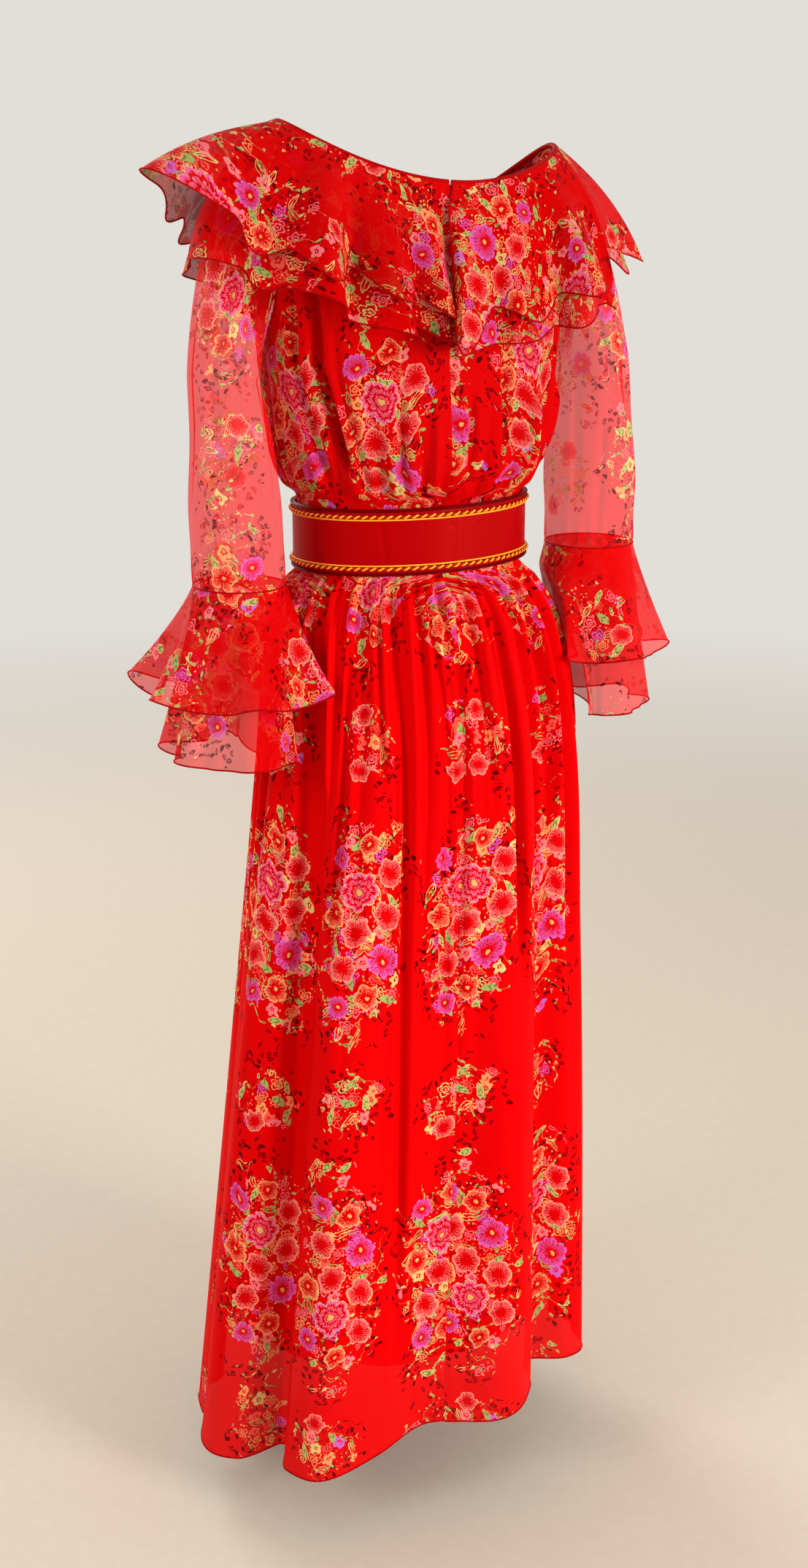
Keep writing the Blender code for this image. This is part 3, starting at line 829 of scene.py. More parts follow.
        centre = (best < bite * 0.06 + 0.11) & ~kinds[Bloom.SERRATED]
        self.lay(centre & inside, p.mixed(streak > 0.5, OCHRE, CREAM))


@dataclass(frozen=True)
class PrintedCloth:
    """Printed chiffon: its cover where plain and where inked, its gloss, a painted shade that darkens it and a
    painted glow.
    """

    name: str
    cover: float
    inked_cover: float
    specular: float
    # depth scales the whole print down: painted shade, a darker copy of the same cloth for parts that the lamps
    # light less
    depth: float = 1.0
    # glow makes the cloth emit light: painted light that stands in for light shining through the sheer cloth
    glow: float = 0.0
    spread: Pair = (0.05, 0.112)
    roughness: float = 0.7
    crepe: float = 900.0
    crepe_height: float = 0.0003
    gloss: Colour = (1.0, 0.25, 0.2)

    def make(self) -> Finish:
        """Makes the material.

        Returns:
            The material.
        """
        material, painter, shader = new_material(self.name)
        drawn = FloralPrint(painter, self.spread)
        # Painted shade: the print's colours darkened by depth
        dyed_and_shaded = painter.vector("SCALE", drawn.colour, scale=self.depth)
        painter.feed(shader, {
            "Base Color": dyed_and_shaded,
            # Painted glow: the cloth emits its own print colour, standing in for light shining through it
            "Emission Color": dyed_and_shaded,
            "Emission Strength": self.glow,
            "Alpha": drawn.inked * (self.inked_cover - self.cover) + self.cover,
            "Normal": painter.bumped(painter.noise(drawn.place, self.crepe, 1.0), self.crepe_height, 0.5),
            "Roughness": self.roughness,
            "Specular IOR Level": self.specular,
            "Specular Tint": (*self.gloss, 1.0),
        })
        return material


@dataclass(frozen=True)
class PlainCloth:
    """Plain dyed cloth or cord with a fine grain and a little unevenness of its dye."""

    name: str
    colour: Colour
    second: Colour
    roughness: float
    specular: float
    patch: float = 40.0
    grain: float = 1500.0
    grain_height: float = 0.0003
    unevenness: float = 0.12
    gloss: Colour = (1.0, 0.3, 0.22)

    def make(self) -> Finish:
        """Makes the material.

        Returns:
            The material.
        """
        material, painter, shader = new_material(self.name)
        place = painter.on_object()
        shade = painter.noise(place, self.patch, 2.0, flat=False)
        fine = painter.noise(place, self.grain, 1.0, flat=False)
        painter.feed(shader, {
            "Base Color": painter.mixed(shade, self.colour, self.second),
            "Normal": painter.bumped(fine, self.grain_height, 0.4),
            "Roughness": fine * self.unevenness + (self.roughness - 0.5 * self.unevenness),
            "Specular IOR Level": self.specular,
            "Specular Tint": (*self.gloss, 1.0),
        })
        return material


def new_material(name: str) -> tuple[Finish, Painter, bpy.types.Node]:
    """Makes a new material.

    Args:
        name: Its name.

    Returns:
        The material, its painter and its shader.
    """
    material = bpy.data.materials.new(name)
    material.use_nodes = True
    return material, Painter(material.node_tree), material.node_tree.nodes["Principled BSDF"]


@dataclass(frozen=True)
class Wardrobe:
    """The finishes of the dress, made once."""

    skirt: Finish
    bodice: Finish
    collar: Finish
    cuff: Finish
    sheer: Finish
    lining: Finish
    band: Finish
    gold: Finish
    scarlet: Finish
    piping: Finish
    hem: Finish

    @staticmethod
    def dyed_and_shaded() -> "Wardrobe":
        """Makes every finish.

        Returns:
            The finishes.
        """
        cloths = (
            PrintedCloth("skirt_print", 0.975, 0.99, 0.06),
            # Bodice, collar and cuffs take a depth below 1: painted shade, darker copies of the same print for
            # parts that the lamps light less, and in part the deeper tone of doubled cloth
            PrintedCloth("bodice_print", 0.97, 0.98, 0.05, depth=0.8),
            PrintedCloth("collar_print", 0.85, 0.95, 0.06, depth=0.86, spread=(0.074, 0.15)),
            # Cuffs and sleeves glow: painted light, as if light shone through the sheer cloth
            PrintedCloth("cuff_print", 0.72, 0.92, 0.08, depth=0.95, glow=0.08),
            PrintedCloth("sheer_print", 0.58, 0.86, 0.1, glow=0.2),
            PlainCloth("lining_cloth", (0.56, 0.0, 0.001), (0.48, 0.0, 0.001), 0.55, 0.1),
            PlainCloth("belt_satin", (0.4, 0.0, 0.001), (0.31, 0.0, 0.001), 0.42, 0.06, 9.0, 2200.0),
            PlainCloth("gold_cord", (1.0, 0.46, 0.03), (0.9, 0.3, 0.015), 0.5, 0.15, 300.0),
            PlainCloth("scarlet_cord", (0.46, 0.008, 0.002), (0.34, 0.004, 0.001), 0.55, 0.1, 300.0),
            PlainCloth("maroon_piping", (0.13, 0.0, 0.002), (0.08, 0.0, 0.001), 0.4, 0.08, 60.0),
            PlainCloth("rolled_hem", (0.5, 0.0, 0.001), (0.2, 0.001, 0.002), 0.7, 0.1, 160.0),
        )
        return Wardrobe(*(cloth.make() for cloth in cloths))


@dataclass(frozen=True)
class Neckline:
    """A wide scoop that has slipped a little to the wearer's right."""

    centre_x: float = -0.008
    half_width: float = 0.149
    back_depth: float = 0.085
    front_depth: float = 0.1
    back_drop: float = 0.047
    front_drop: float = 0.085
    tilt: float = 0.01
    power: float = 1.8

    def place(self, angle: Array) -> Array:
        """Points of the neckline seam.

        Args:
            angle: Their angles round the neck.

        Returns:
            The points.
        """
        back = sind(angle) >= 0.0
        depth = np.where(back, self.back_depth, self.front_depth)
        drop = np.where(back, self.back_drop, self.front_drop)
        fall = drop * np.abs(sind(angle)) ** self.power
        x = self.centre_x + self.half_width * cosd(angle)
        return stacked(x, depth * sind(angle), self.tilt * cosd(angle) - fall)

    def outward(self, angle: Array) -> Array:
        """The level directions away from the neckline."""
        depth = np.where(sind(angle) >= 0.0, self.back_depth, self.front_depth)
        return unit(stacked(cosd(angle) / self.half_width, sind(angle) / depth, 0.0))


@dataclass(frozen=True)
class Armhole:
    """An ellipse that leans in towards the armpit."""

    tip: tuple[float, float, float] = (0.172, 0.0, -0.03)
    pit: tuple[float, float, float] = (0.16, 0.0, -0.19)
    half_depth: float = 0.055
    inset: float = 0.006
    tilt: float = 0.01

    def place(self, side: float, turn: Array) -> Array:
        """Points of an armhole.

        Args:
            side: 1 for the wearer's left and -1 for their right.
            turn: 90 at the shoulder tip, -90 at the armpit, 0 at the back and 180 at the front.

        Returns:
            The points.
        """
        share = 0.5 + 0.5 * sind(turn)
        tip, pit = np.array(self.tip), np.array(self.pit)
        x = pit[0] + (tip[0] - pit[0]) * share - self.inset * cosd(turn) ** 2
        z = pit[2] + (tip[2] - pit[2]) * share + self.tilt * side * share
        return stacked(side * x, self.half_depth * cosd(turn), z)


@dataclass(frozen=True)
class Panel:
    """A panel between two seams: its node, the seams' angles, its place on the bolt and its flat cut."""

    node: str
    start: float
    end: float
    place: Pair
    flat: Pair

    def angles(self, columns_a_turn: int) -> Array:
        """The angles of its columns."""
        return np.linspace(self.start, self.end, round(columns_a_turn * (self.end - self.start) / 360.0) + 1)


@dataclass(frozen=True)
class Gathers:
    """Gathers at the belt: coarse ones that wander and differ in depth, and fine ones that fade out."""

    count: float
    wander: Rows  # height in degrees, waves in a turn, start
    share: Pair  # the mean of the depth's share and how much it differs
    share_wave: Pair  # waves in a turn, start
    fine_count: float
    fine_wander: Pair  # height in degrees, waves in a turn
    fine_depth: float
    near: Pair  # heights at which the fine ones start and are full
    far: Pair  # heights at which they end and are full
    far_wave: Pair  # how much the end's height differs, waves in a turn

    def height(self, angle: Array, z: Array, depth: Array) -> Array:
        """How far they stand out.

        Args:
            angle: The places' angles.
            z: Their heights.
            depth: The coarse gathers' depth there.

        Returns:
            The height above the plain cloth.
        """
        wander = sum(high * sind(angle * waves + start) for high, waves, start in self.wander)
        warped = angle * self.count + wander
        uneven = self.share[0] + self.share[1] * sind(angle * self.share_wave[0] + self.share_wave[1])
        far = self.far[0] + self.far_wave[0] * sind(angle * self.far_wave[1])
        fine = fade(z, *self.near) * fade(z, far, self.far[1])
        fine_warped = angle * self.fine_count + self.fine_wander[0] * sind(angle * self.fine_wander[1])
        return depth * uneven * pleated(0.5 * warped) + self.fine_depth * fine * pleated(0.5 * fine_warped)


def seam_groove(angle: Array, depth: float = 0.0016, half_width: float = 0.9) -> Array:
    """The shallow line of the side seams and the centre back seam."""
    return depth * sum(np.exp(-(apart(angle, seam) / half_width) ** 2) for seam in (0.0, 90.0, 180.0))


@dataclass
class Bodice:
    """The bodice: a front panel and two back panels with a closed zip seam between them."""

    neck: Neckline
    arm: Armhole
    waist_z: float = -0.394
    chest_z: float = -0.218
    chest_power: float = 2.4
    rings: Rows = (  # z, half width, depth at the back, depth at the front, gather depth
        (-0.394, 0.1195, 0.0925, 0.0925, 0), (-0.357, 0.1215, 0.0945, 0.0945, 0.0016),
        (-0.345, 0.129, 0.103, 0.103, 0.0062), (-0.325, 0.1385, 0.112, 0.114, 0.007),
        (-0.295, 0.147, 0.116, 0.121, 0.0052), (-0.218, 0.157, 0.109, 0.122, 0.0012),
    )
    gathers: Gathers = Gathers(18.0, ((34.0, 3.0, 40.0), (22.0, 7.0, 0.0)), (0.75, 0.35), (5.0, 200.0), 41.0,
                               (60.0, 4.0), 0.0042, (-0.358, -0.342), (-0.245, -0.345), (0.04, 11.0))
    belt_edge: Pair = (-0.357, -0.3455)
    crease_gain: float = 2.6
    shoulder_gap: float = 0.0006
    rise: float = 0.35
    across: float = 0.8
    underarm: float = 22.0
    armhole_angle: float = 42.0
    shoulder_angle: float = 50.0
    panels: tuple[Panel, ...] = (
        Panel("bodice_back_left", 0.0, 90.0, (0.012, -0.098), (0.19, 0.44)),
        Panel("bodice_back_right", 90.0, 180.0, (0.095, -0.055), (0.19, 0.44)),
        Panel("bodice_front", 180.0, 360.0, (0.15, -0.1), (0.36, 0.44)),
    )
    columns_a_turn: int = 460
    low_rows: int = 62
    top_rows: int = 44
    creases: tuple[Crease, ...] = creases_from(
        -0.345,  # then angle, the end's angle and height, depth, half widths
        (48, 27, -0.12, -0.0075, 3, 7), (36, 20, -0.17, -0.005, 2.6, 5),
        (54, 47, -0.2, -0.0035, 3, 5), (70, 74, -0.22, -0.003, 2.5, 4),
        (84, 86, -0.25, 0.003, 2.5, 2.5), (99, 96, -0.23, -0.0036, 2.5, 3),
        (113, 109, -0.19, -0.005, 3, 5), (128, 126, -0.24, 0.004, 3.5, 3),
        (143, 150, -0.16, -0.006, 4, 6), (160, 158, -0.23, 0.004, 4, 4),
        (203, 214, -0.17, -0.0055, 4, 6), (226, 230, -0.22, -0.0036, 3, 4),
        (248, 252, -0.2, -0.004, 3, 4), (270, 268, -0.24, 0.0032, 3, 3),
        (287, 284, -0.21, -0.004, 3, 4), (309, 306, -0.2, -0.0038, 3, 5),
        (333, 323, -0.165, -0.0055, 5, 5),
    )

    def low_point(self, angle: Array, z: Array) -> Array:
        """Points below the armholes.

        Args:
            angle: Their angles.
            z: Their heights.

        Returns:
            The points, with gathers above the belt and creases.
        """
        half_width, back, front, gather = read_rings(z, self.rings)
        power = 2.0 + (self.chest_power - 2.0) * (z - self.waist_z) / (self.chest_z - self.waist_z)
        c, s = cosd(angle), sind(angle)
        c = np.sign(c) * np.abs(c) ** (2.0 / power)
        s = np.sign(s) * np.abs(s) ** (2.0 / power)
        height = self.gathers.height(angle, z, gather) + self.crease_gain * creased(self.creases, angle, z)
        height = height * fade(z, *self.belt_edge) - seam_groove(angle)
        swell = 1.0 + height / half_width
        depth = np.where(s >= 0.0, back, front)
        return stacked(half_width * c * swell, depth * s * swell, z)

    def top_edge(self, angle: float) -> tuple[Array, Array]:
        """The top edge of the bodice, and the direction in which its cloth arrives there.

        Args:
            angle: Where round the dress.

        Returns:
            The point and the direction.
        """
        front = -1.0 if math.sin(math.radians(angle)) < 0.0 else 1.0
        side = 1.0 if math.cos(math.radians(angle)) >= 0.0 else -1.0
        from_side = abs(float(apart(angle, 0.0 if side > 0.0 else 180.0)))
        over = unit(np.array((0.0, -front, self.rise)))
        across = unit(np.array((side * self.across, -front, self.rise)))
        if from_side <= self.armhole_angle:
            share = max(0.0, (from_side - self.underarm) / (self.armhole_angle - self.underarm))
            turn = 90.0 * share if share > 0.0 else 90.0 * (from_side / self.underarm - 1.0)
            place = self.arm.place(side, turn if front > 0.0 else 180.0 - turn)
            place[1] = front * max(abs(place[1]), self.shoulder_gap * 0.25 * share)
            up = np.array((0.0, 0.0, 1.0))
            return place, up + (across - up) * math.sqrt(share)
        neck_point = self.neck.place(0.0 if side > 0.0 else 180.0)
        if from_side <= self.shoulder_angle:
            share = (from_side - self.armhole_angle) / (self.shoulder_angle - self.armhole_angle)
            tip = self.arm.place(side, 90.0)
            place = tip + (neck_point - tip) * share
            place[1] = front * self.shoulder_gap * 0.25
            return place, across + (over - across) * share
        round_neck = 90.0 * (from_side - self.shoulder_angle) / (90.0 - self.shoulder_angle)
        on_neck = front * round_neck if side > 0.0 else front * (180.0 - round_neck)
        share = float(smooth(round_neck / 90.0))
        up = unit(np.array((0.0, -0.3 * front, 1.0)))
        place = self.neck.place(on_neck)
        place[1] = front * max(abs(place[1]), self.shoulder_gap * 0.25)
        return place, over + (up - over) * share

    def points(self, panel: Panel) -> Array:
        """The points of a panel.

        Args:
            panel: The panel.

        Returns:
            Rows of points, from the waist up.
        """
        angle = panel.angles(self.columns_a_turn)
        inset = 1e-6 * (panel.end - panel.start)
        z = np.linspace(self.waist_z, self.chest_z, self.low_rows)[:, None]
        low = self.low_point(angle[None, :], z)
        edges = [self.top_edge(a) for a in np.clip(angle, panel.start + inset, panel.end - inset)]
        top, arriving = np.array([e[0] for e in edges]), np.array([e[1] for e in edges])
        chest = low[-1]
        span = np.linalg.norm(top - chest, axis=-1, keepdims=True)
        leaving = span * np.array((0.0, 0.0, 1.0))
        shares = np.linspace(0.0, 1.0, self.top_rows + 1)[1:]
        upper = np.array([hermite(chest, leaving, top, arriving * span, s) for s in shares])
        return np.concatenate([low, upper])

    def make(self, wardrobe: Wardrobe) -> None:
        """Makes the panels.

        Args:
            wardrobe: The finishes.
        """
        for panel in self.panels:
            sheet = ClothSheet(panel.node, self.points(panel), place_on_bolt=panel.place)
            piece = sheet.make(wardrobe.bodice, Slot.LINED)


@dataclass
class Skirt:
    """The gathered skirt: a front panel and two back panels."""

    waist_z: float = -0.394
    rings: Rows = (  # z, half width, half depth, centre x, centre y, gather depth, fold share
        (-0.394, 0.1195, 0.0925, 0, 0, 0, 0), (-0.434, 0.1205, 0.0935, 0, 0, 0.003, 0),
        (-0.45, 0.1345, 0.1075, -0.001, 0.001, 0.0078, 0.02),
        (-0.486, 0.1525, 0.1215, -0.004, 0.003, 0.0094, 0.08),
        (-0.6, 0.174, 0.143, -0.008, 0.005, 0.0056, 0.26), (-0.84, 0.191, 0.164, 0.004, 0.008, 0.0024, 0.6),
        (-1.12, 0.209, 0.182, 0.019, 0.01, 0.0006, 0.86), (-1.387, 0.226, 0.196, 0.033, 0.01, 0, 1),
    )
    folds: Rows = (  # angle, reach at the hem, half width
        (15, 0.022, 17), (34, -0.04, 9), (52, 0.024, 17), (84, -0.026, 20), (108, 0.02, 14),
        (126, -0.026, 9), (141, 0.02, 13), (166, -0.026, 11), (186, 0.022, 15),
        (208, -0.03, 10), (228, 0.024, 15), (250, -0.03, 10), (272, 0.022, 15),
        (292, -0.034, 10), (314, 0.024, 15), (338, -0.028, 11),
    )
    hem_rise: Rows = (  # angle, rise of the hem
        (0, -0.026), (20, -0.032), (50, -0.018), (90, 0.02), (128, 0.046), (170, 0.04),
        (240, 0.02), (300, -0.006),
    )
    rise_growth: float = 3.0
    gathers: Gathers = Gathers(34.0, ((40.0, 3.0, 15.0), (26.0, 8.0, 70.0)), (0.72, 0.38), (5.0, 110.0), 67.0,
                               (70.0, 6.0), 0.0042, (-0.428, -0.44), (-0.6, -0.455), (0.07, 13.0))
    belt_edge: Pair = (-0.428, -0.436)
    crease_gain: float = 2.3
    softness: float = 0.001
    lining_room: float = 0.002
    lining_room_growth: float = 0.0315
    growth_from: float = -0.5
    lining_room_step: float = 0.007
    lining_room_edge: Pair = (-0.436, -0.458)
    groove_edge: Pair = (-0.43, -0.47)
    row_crowding: float = 1.12
    hem_radius: float = 0.001
    panels: tuple[Panel, ...] = (
        Panel("skirt_back_left", 0.0, 90.0, (0.03, -0.193), (0.37, 1.02)),
        Panel("skirt_back_right", 90.0, 180.0, (0.25, -0.193), (0.37, 1.02)),
        Panel("skirt_front", 180.0, 360.0, (0.48, -0.193), (0.72, 1.02)),
    )
    columns_a_turn: int = 880
    rows: int = 190
    creases: tuple[Crease, ...] = crease_rows(  # angle and height of both ends, depth, half widths
        (35.5, -0.56, 33.8, -1.65, -0.01, 1.4, 2.2), (80, -0.44, 84, -0.92, -0.008, 1.6, 3.4),
        (106, -0.44, 109, -0.9, -0.008, 1.8, 3.8),
    ) + creases_from(
        -0.445,  # then angle, the end's angle and height, depth, half widths
        (8, 6, -0.78, -0.005, 2.2, 3.2), (17, 18, -0.62, 0.004, 2, 2.4),
        (27, 30, -1.05, -0.006, 2.4, 4.6), (38, 40, -0.7, 0.0044, 2.4, 2.6),
        (47, 45, -0.86, -0.0046, 2.2, 3.4), (58, 60, -0.66, -0.0044, 1.8, 2.4),
        (66, 73, -1.35, -0.0064, 2, 4.6), (88, 89, -0.95, -0.0048, 2, 3.6),
        (97, 99, -0.68, -0.004, 1.8, 2.2), (117, 119, -1.22, -0.0062, 2.8, 5),
        (129, 130, -0.74, 0.0044, 2.2, 2.6), (138, 136, -0.92, -0.0052, 2.2, 3.6),
        (149, 152, -0.66, -0.004, 2, 2.4), (161, 164, -1.1, -0.006, 2.6, 4.6),
        (174, 173, -0.7, 0.0042, 2.4, 2.6), (187, 190, -0.88, -0.005, 2.4, 3.4),
        (201, 199, -0.66, -0.0042, 2, 2.4), (214, 213, -1.12, -0.006, 2.6, 4.8),
        (229, 232, -0.74, 0.0044, 2.4, 2.8), (241, 243, -0.94, -0.0052, 2.4, 3.6),
        (256, 254, -0.68, -0.004, 2, 2.6), (268, 270, -1.06, -0.0056, 2.6, 4.4),
        (283, 281, -0.74, 0.0044, 2.4, 2.6), (297, 299, -0.98, -0.0054, 2.4, 4),
        (311, 309, -0.7, -0.0042, 2, 2.6), (325, 328, -1.14, -0.006, 2.8, 4.8),
        (339, 338, -0.74, 0.0044, 2.4, 2.6), (351, 354, -0.9, -0.005, 2.2, 3.4),
    )

    def sizes(self, z: Array) -> list[Array]:
        """The skirt's sizes at heights: half width, half depth, centre x and y, gather depth and fold share."""
        return read_rings(z, self.rings)

    def place(self, angle: Array, z: Array) -> Array:
        """Points of the skirt, with its gathers under the belt and its folds down to the hem.

        Args:
            angle: Their angles.
            z: Their heights before the hem's rise.

        Returns:
            The points.
        """
        half_width, half_depth, centre_x, centre_y, gather, share = self.sizes(z)
        c, s = cosd(angle), sind(angle)
        out = self.gathers.height(angle, z, gather) + self.crease_gain * creased(self.creases, angle, z)
        out = (out + share * bumps(angle, self.folds)) * fade(z, *self.belt_edge)
        deepest = (self.lining_room + self.lining_room_step * fade(z, *self.lining_room_edge)
                   + self.lining_room_growth * np.maximum(0.0, self.growth_from - z))
        out = np.logaddexp(out / self.softness, -deepest / self.softness) * self.softness
        away = unit(stacked(c / half_width, s / half_depth, np.zeros_like(c * z)))
        rise = round_table(angle, self.hem_rise, 1) * share ** self.rise_growth
        base = stacked(centre_x + half_width * c, centre_y + half_depth * s, z + rise)
        out = out - seam_groove(angle) * fade(z, *self.groove_edge)
        return base + away * out[..., None]

    def points(self, panel: Panel) -> Array:
        """The points of a panel.

        Args:
            panel: The panel.

        Returns:
            Rows of points, from the waist seam down.
        """
        share = np.linspace(0.0, 1.0, self.rows)[:, None] ** self.row_crowding
        z = self.waist_z + (self.rings[-1][0] - self.waist_z) * share
        return self.place(panel.angles(self.columns_a_turn)[None, :], z)

    def make(self, wardrobe: Wardrobe) -> None:
        """Makes the panels and their hems.

        Args:
            wardrobe: The finishes.
        """
        for panel in self.panels:
            points = self.points(panel)
            piece = ClothSheet(panel.node, points, place_on_bolt=panel.place).make(wardrobe.skirt, Slot.LINED)
            hem = rolled(f"hem_{panel.node}", points[-1], self.hem_radius, wardrobe.hem)


@dataclass
class SkirtLining:
    """A plain lining inside the skirt, shorter than it."""

    rings: Rows = (  # z, half width, half depth, centre x, centre y
        (-0.394, 0.1178, 0.0908, 0, 0), (-0.438, 0.1165, 0.0895, 0, 0),
        (-0.486, 0.137, 0.108, -0.003, 0.002), (-0.72, 0.159, 0.129, -0.002, 0.006),
        (-1, 0.169, 0.141, 0.012, 0.009), (-1.3, 0.18, 0.152, 0.027, 0.01),
    )
    waves: float = 11.0
    wave_depth: float = 0.0035
    wave_start: Pair = (-0.52, -1.1)
    wander: Pair = (30.0, 2.0)  # height in degrees, waves in a turn
    hem_radius: float = 0.0008
    panels: tuple[Panel, ...] = (
        Panel("lining_back_left", 0.0, 90.0, (0.0, 0.0), (0.27, 0.91)),
        Panel("lining_back_right", 90.0, 180.0, (0.0, 0.0), (0.27, 0.91)),
        Panel("lining_front", 180.0, 360.0, (0.0, 0.0), (0.53, 0.91)),
    )
    columns_a_turn: int = 200
    rows: int = 60

    def make(self, wardrobe: Wardrobe) -> None:
        """Makes the panels, with a little slack in soft waves.

        Args:
            wardrobe: The finishes.
        """
        z = np.linspace(self.rings[0][0], self.rings[-1][0], self.rows)[:, None]
        half_width, half_depth, centre_x, centre_y = read_rings(z, self.rings)
        for panel in self.panels:
            angle = panel.angles(self.columns_a_turn)[None, :]
            warped = angle * self.waves + self.wander[0] * sind(angle * self.wander[1])
            slack = self.wave_depth * fade(z, *self.wave_start) * sind(warped)
            x, y = centre_x + (half_width + slack) * cosd(angle), centre_y + (half_depth + slack) * sind(angle)
            points = stacked(x, y, z)
            piece = ClothSheet(panel.node, points, place_on_bolt=panel.place).make(wardrobe.lining, Slot.LINING)
            hem = rolled(f"hem_{panel.node}", points[-1], self.hem_radius, wardrobe.lining)


@dataclass
class Sleeve:
    """A sheer sleeve from the armhole to the cuff seam."""

    arm: Armhole
    name: str
    side: float
    rise: float
    place_on_bolt: Pair
    flat: Pair = (0.32, 0.42)
    area: float = 0.1
    seam_radius: float = 0.001
    tip_gap: float = 0.0004
    pit_gap: float = 0.0006
    cap_leaving: Pair = (0.1, 0.01)
    under_leaving: Pair = (0.01, -0.03)
    drop_under: float = 0.035
    drop_outer: float = 0.16
    rings: Rows = (  # z, arm centre x, arm centre y, half width, half depth
        (-0.235, 0.2045, 0.012, 0.035, 0.048), (-0.3, 0.2, 0.02, 0.0415, 0.05),
        (-0.37, 0.1995, 0.026, 0.047, 0.052), (-0.437, 0.1985, 0.03, 0.047, 0.05),
    )
    gathers: float = 23.0
    wander: Pair = (50.0, 3.0)  # height in degrees, waves in a turn
    gather_depth: float = 0.0011
    gather_start: float = 0.86
    level_ends: Pair = (0.06, 0.985)
    columns: int = 168
    cap_rows: int = 46
    arm_rows: int = 60
    creases: tuple[Crease, ...] = crease_rows(  # turn and share of the length
        (20, 0.1, 44, 0.62, -0.006, 9, 13), (-22, 0.05, 6, 0.55, -0.005, 8, 12),
        (58, 0.3, 40, 0.99, 0.0034, 11, 9), (-8, 0.55, -20, 0.98, -0.0036, 10, 8),
        (88, 0.2, 96, 0.9, -0.0038, 12, 9), (136, 0.12, 120, 0.75, -0.005, 10, 13),
        (172, 0.2, 184, 0.85, -0.0044, 10, 12), (206, 0.08, 222, 0.6, -0.005, 9, 11),
        (262, 0.2, 250, 0.96, 0.003, 10, 12), (300, 0.3, 318, 0.95, -0.0036, 9, 12),
    )

    def seam_ring(self, turn: Array) -> Array:
        """Points of the armhole seam.

        Args:
            turn: Their places round it.

        Returns:
            The points.
        """
        outer = 0.5 + 0.5 * sind(turn)
        gap = self.pit_gap + (self.tip_gap - self.pit_gap) * outer
        return self.arm.place(self.side, turn) + stacked(self.side * gap, 0.0 * gap, 0.0 * gap)

    def points(self) -> Array:
        """Rows of points over the cap and down the arm.

        Returns:
            The points.
        """
        turn = np.linspace(-90.0, 270.0, self.columns + 1)
        outer = (0.5 + 0.5 * sind(turn))[:, None]
        start = self.seam_ring(turn)
        z = np.linspace(self.rings[0][0], self.rings[-1][0], self.arm_rows)[:, None]
        centre_x, centre_y, half_width, half_depth = read_rings(z, tuple(sorted(self.rings)))
        shift = self.rise * (z - self.rings[0][0]) / (self.rings[-1][0] - self.rings[0][0])
        x = self.side * (centre_x + half_width * sind(turn))
        lower = stacked(x, centre_y + half_depth * cosd(turn), z + shift)
        cap = np.array((self.side * self.cap_leaving[0], 0.0, self.cap_leaving[1]))
        under = np.array((self.side * self.under_leaving[0], 0.0, self.under_leaving[1]))
        leaving = under + (cap - under) * outer
        drop = self.drop_under + (self.drop_outer - self.drop_under) * outer
        arriving = np.concatenate([0.0 * outer, 0.0 * outer, -drop], axis=1)
        shares = np.linspace(0.0, 1.0, self.cap_rows)[:-1]
        upper = np.array([hermite(start, leaving, lower[0], arriving, s) for s in shares])
        points = np.concatenate([upper, lower])
        along = np.linspace(0.0, 1.0, len(points))[:, None]
        warped = turn * self.gathers + self.wander[0] * sind(turn * self.wander[1])
        gathers = self.gather_depth * sind(warped) * fade(along, self.gather_start, 1.0)
        height = creased(self.creases, turn[None, :], along) + gathers
        height = height * fade(along, 0.0, self.level_ends[0]) * fade(along, 1.0, self.level_ends[1])
        outward = stacked(self.side * sind(turn), cosd(turn), 0.0 * turn)
        return points + outward * height[..., None]

    def make(self, wardrobe: Wardrobe) -> None:
        """Makes the sleeve and its armhole seam.

        Args:
            wardrobe: The finishes.
        """
        points = self.points()
        sheet = ClothSheet(self.name, points, closed=True, cut=Cut.SLEEVE, place_on_bolt=self.place_on_bolt)
        piece = sheet.make(wardrobe.sheer, Slot.SHEER)
        seam = rolled(f"seam_{self.name}", points[0, :-1], self.seam_radius, wardrobe.hem, True)


@dataclass(frozen=True)
class Tier:
    """One tier of a cuff flounce.

    Its length, flare, fold column, step inwards and clearance of the skirt, its height on the bolt, its flat
    cut and that ring's area, and whether the sleeve's seam goes with it.
    """

    word: str
    length: float
    flare: float
    column: int
    step: float
    clearance: float
    bolt_height: float
    flat: Pair
    area: float
    seam: bool


CUFF_TIERS: tuple[Tier, Tier] = (
    Tier("upper", 0.122, 0.034, 1, 0.0, 0.004, 0.18, (0.46, 0.2), 0.056, True),
    Tier("lower", 0.18, 0.02, 2, 0.0018, 0.009, 0.27, (0.45, 0.215), 0.067, False),
)


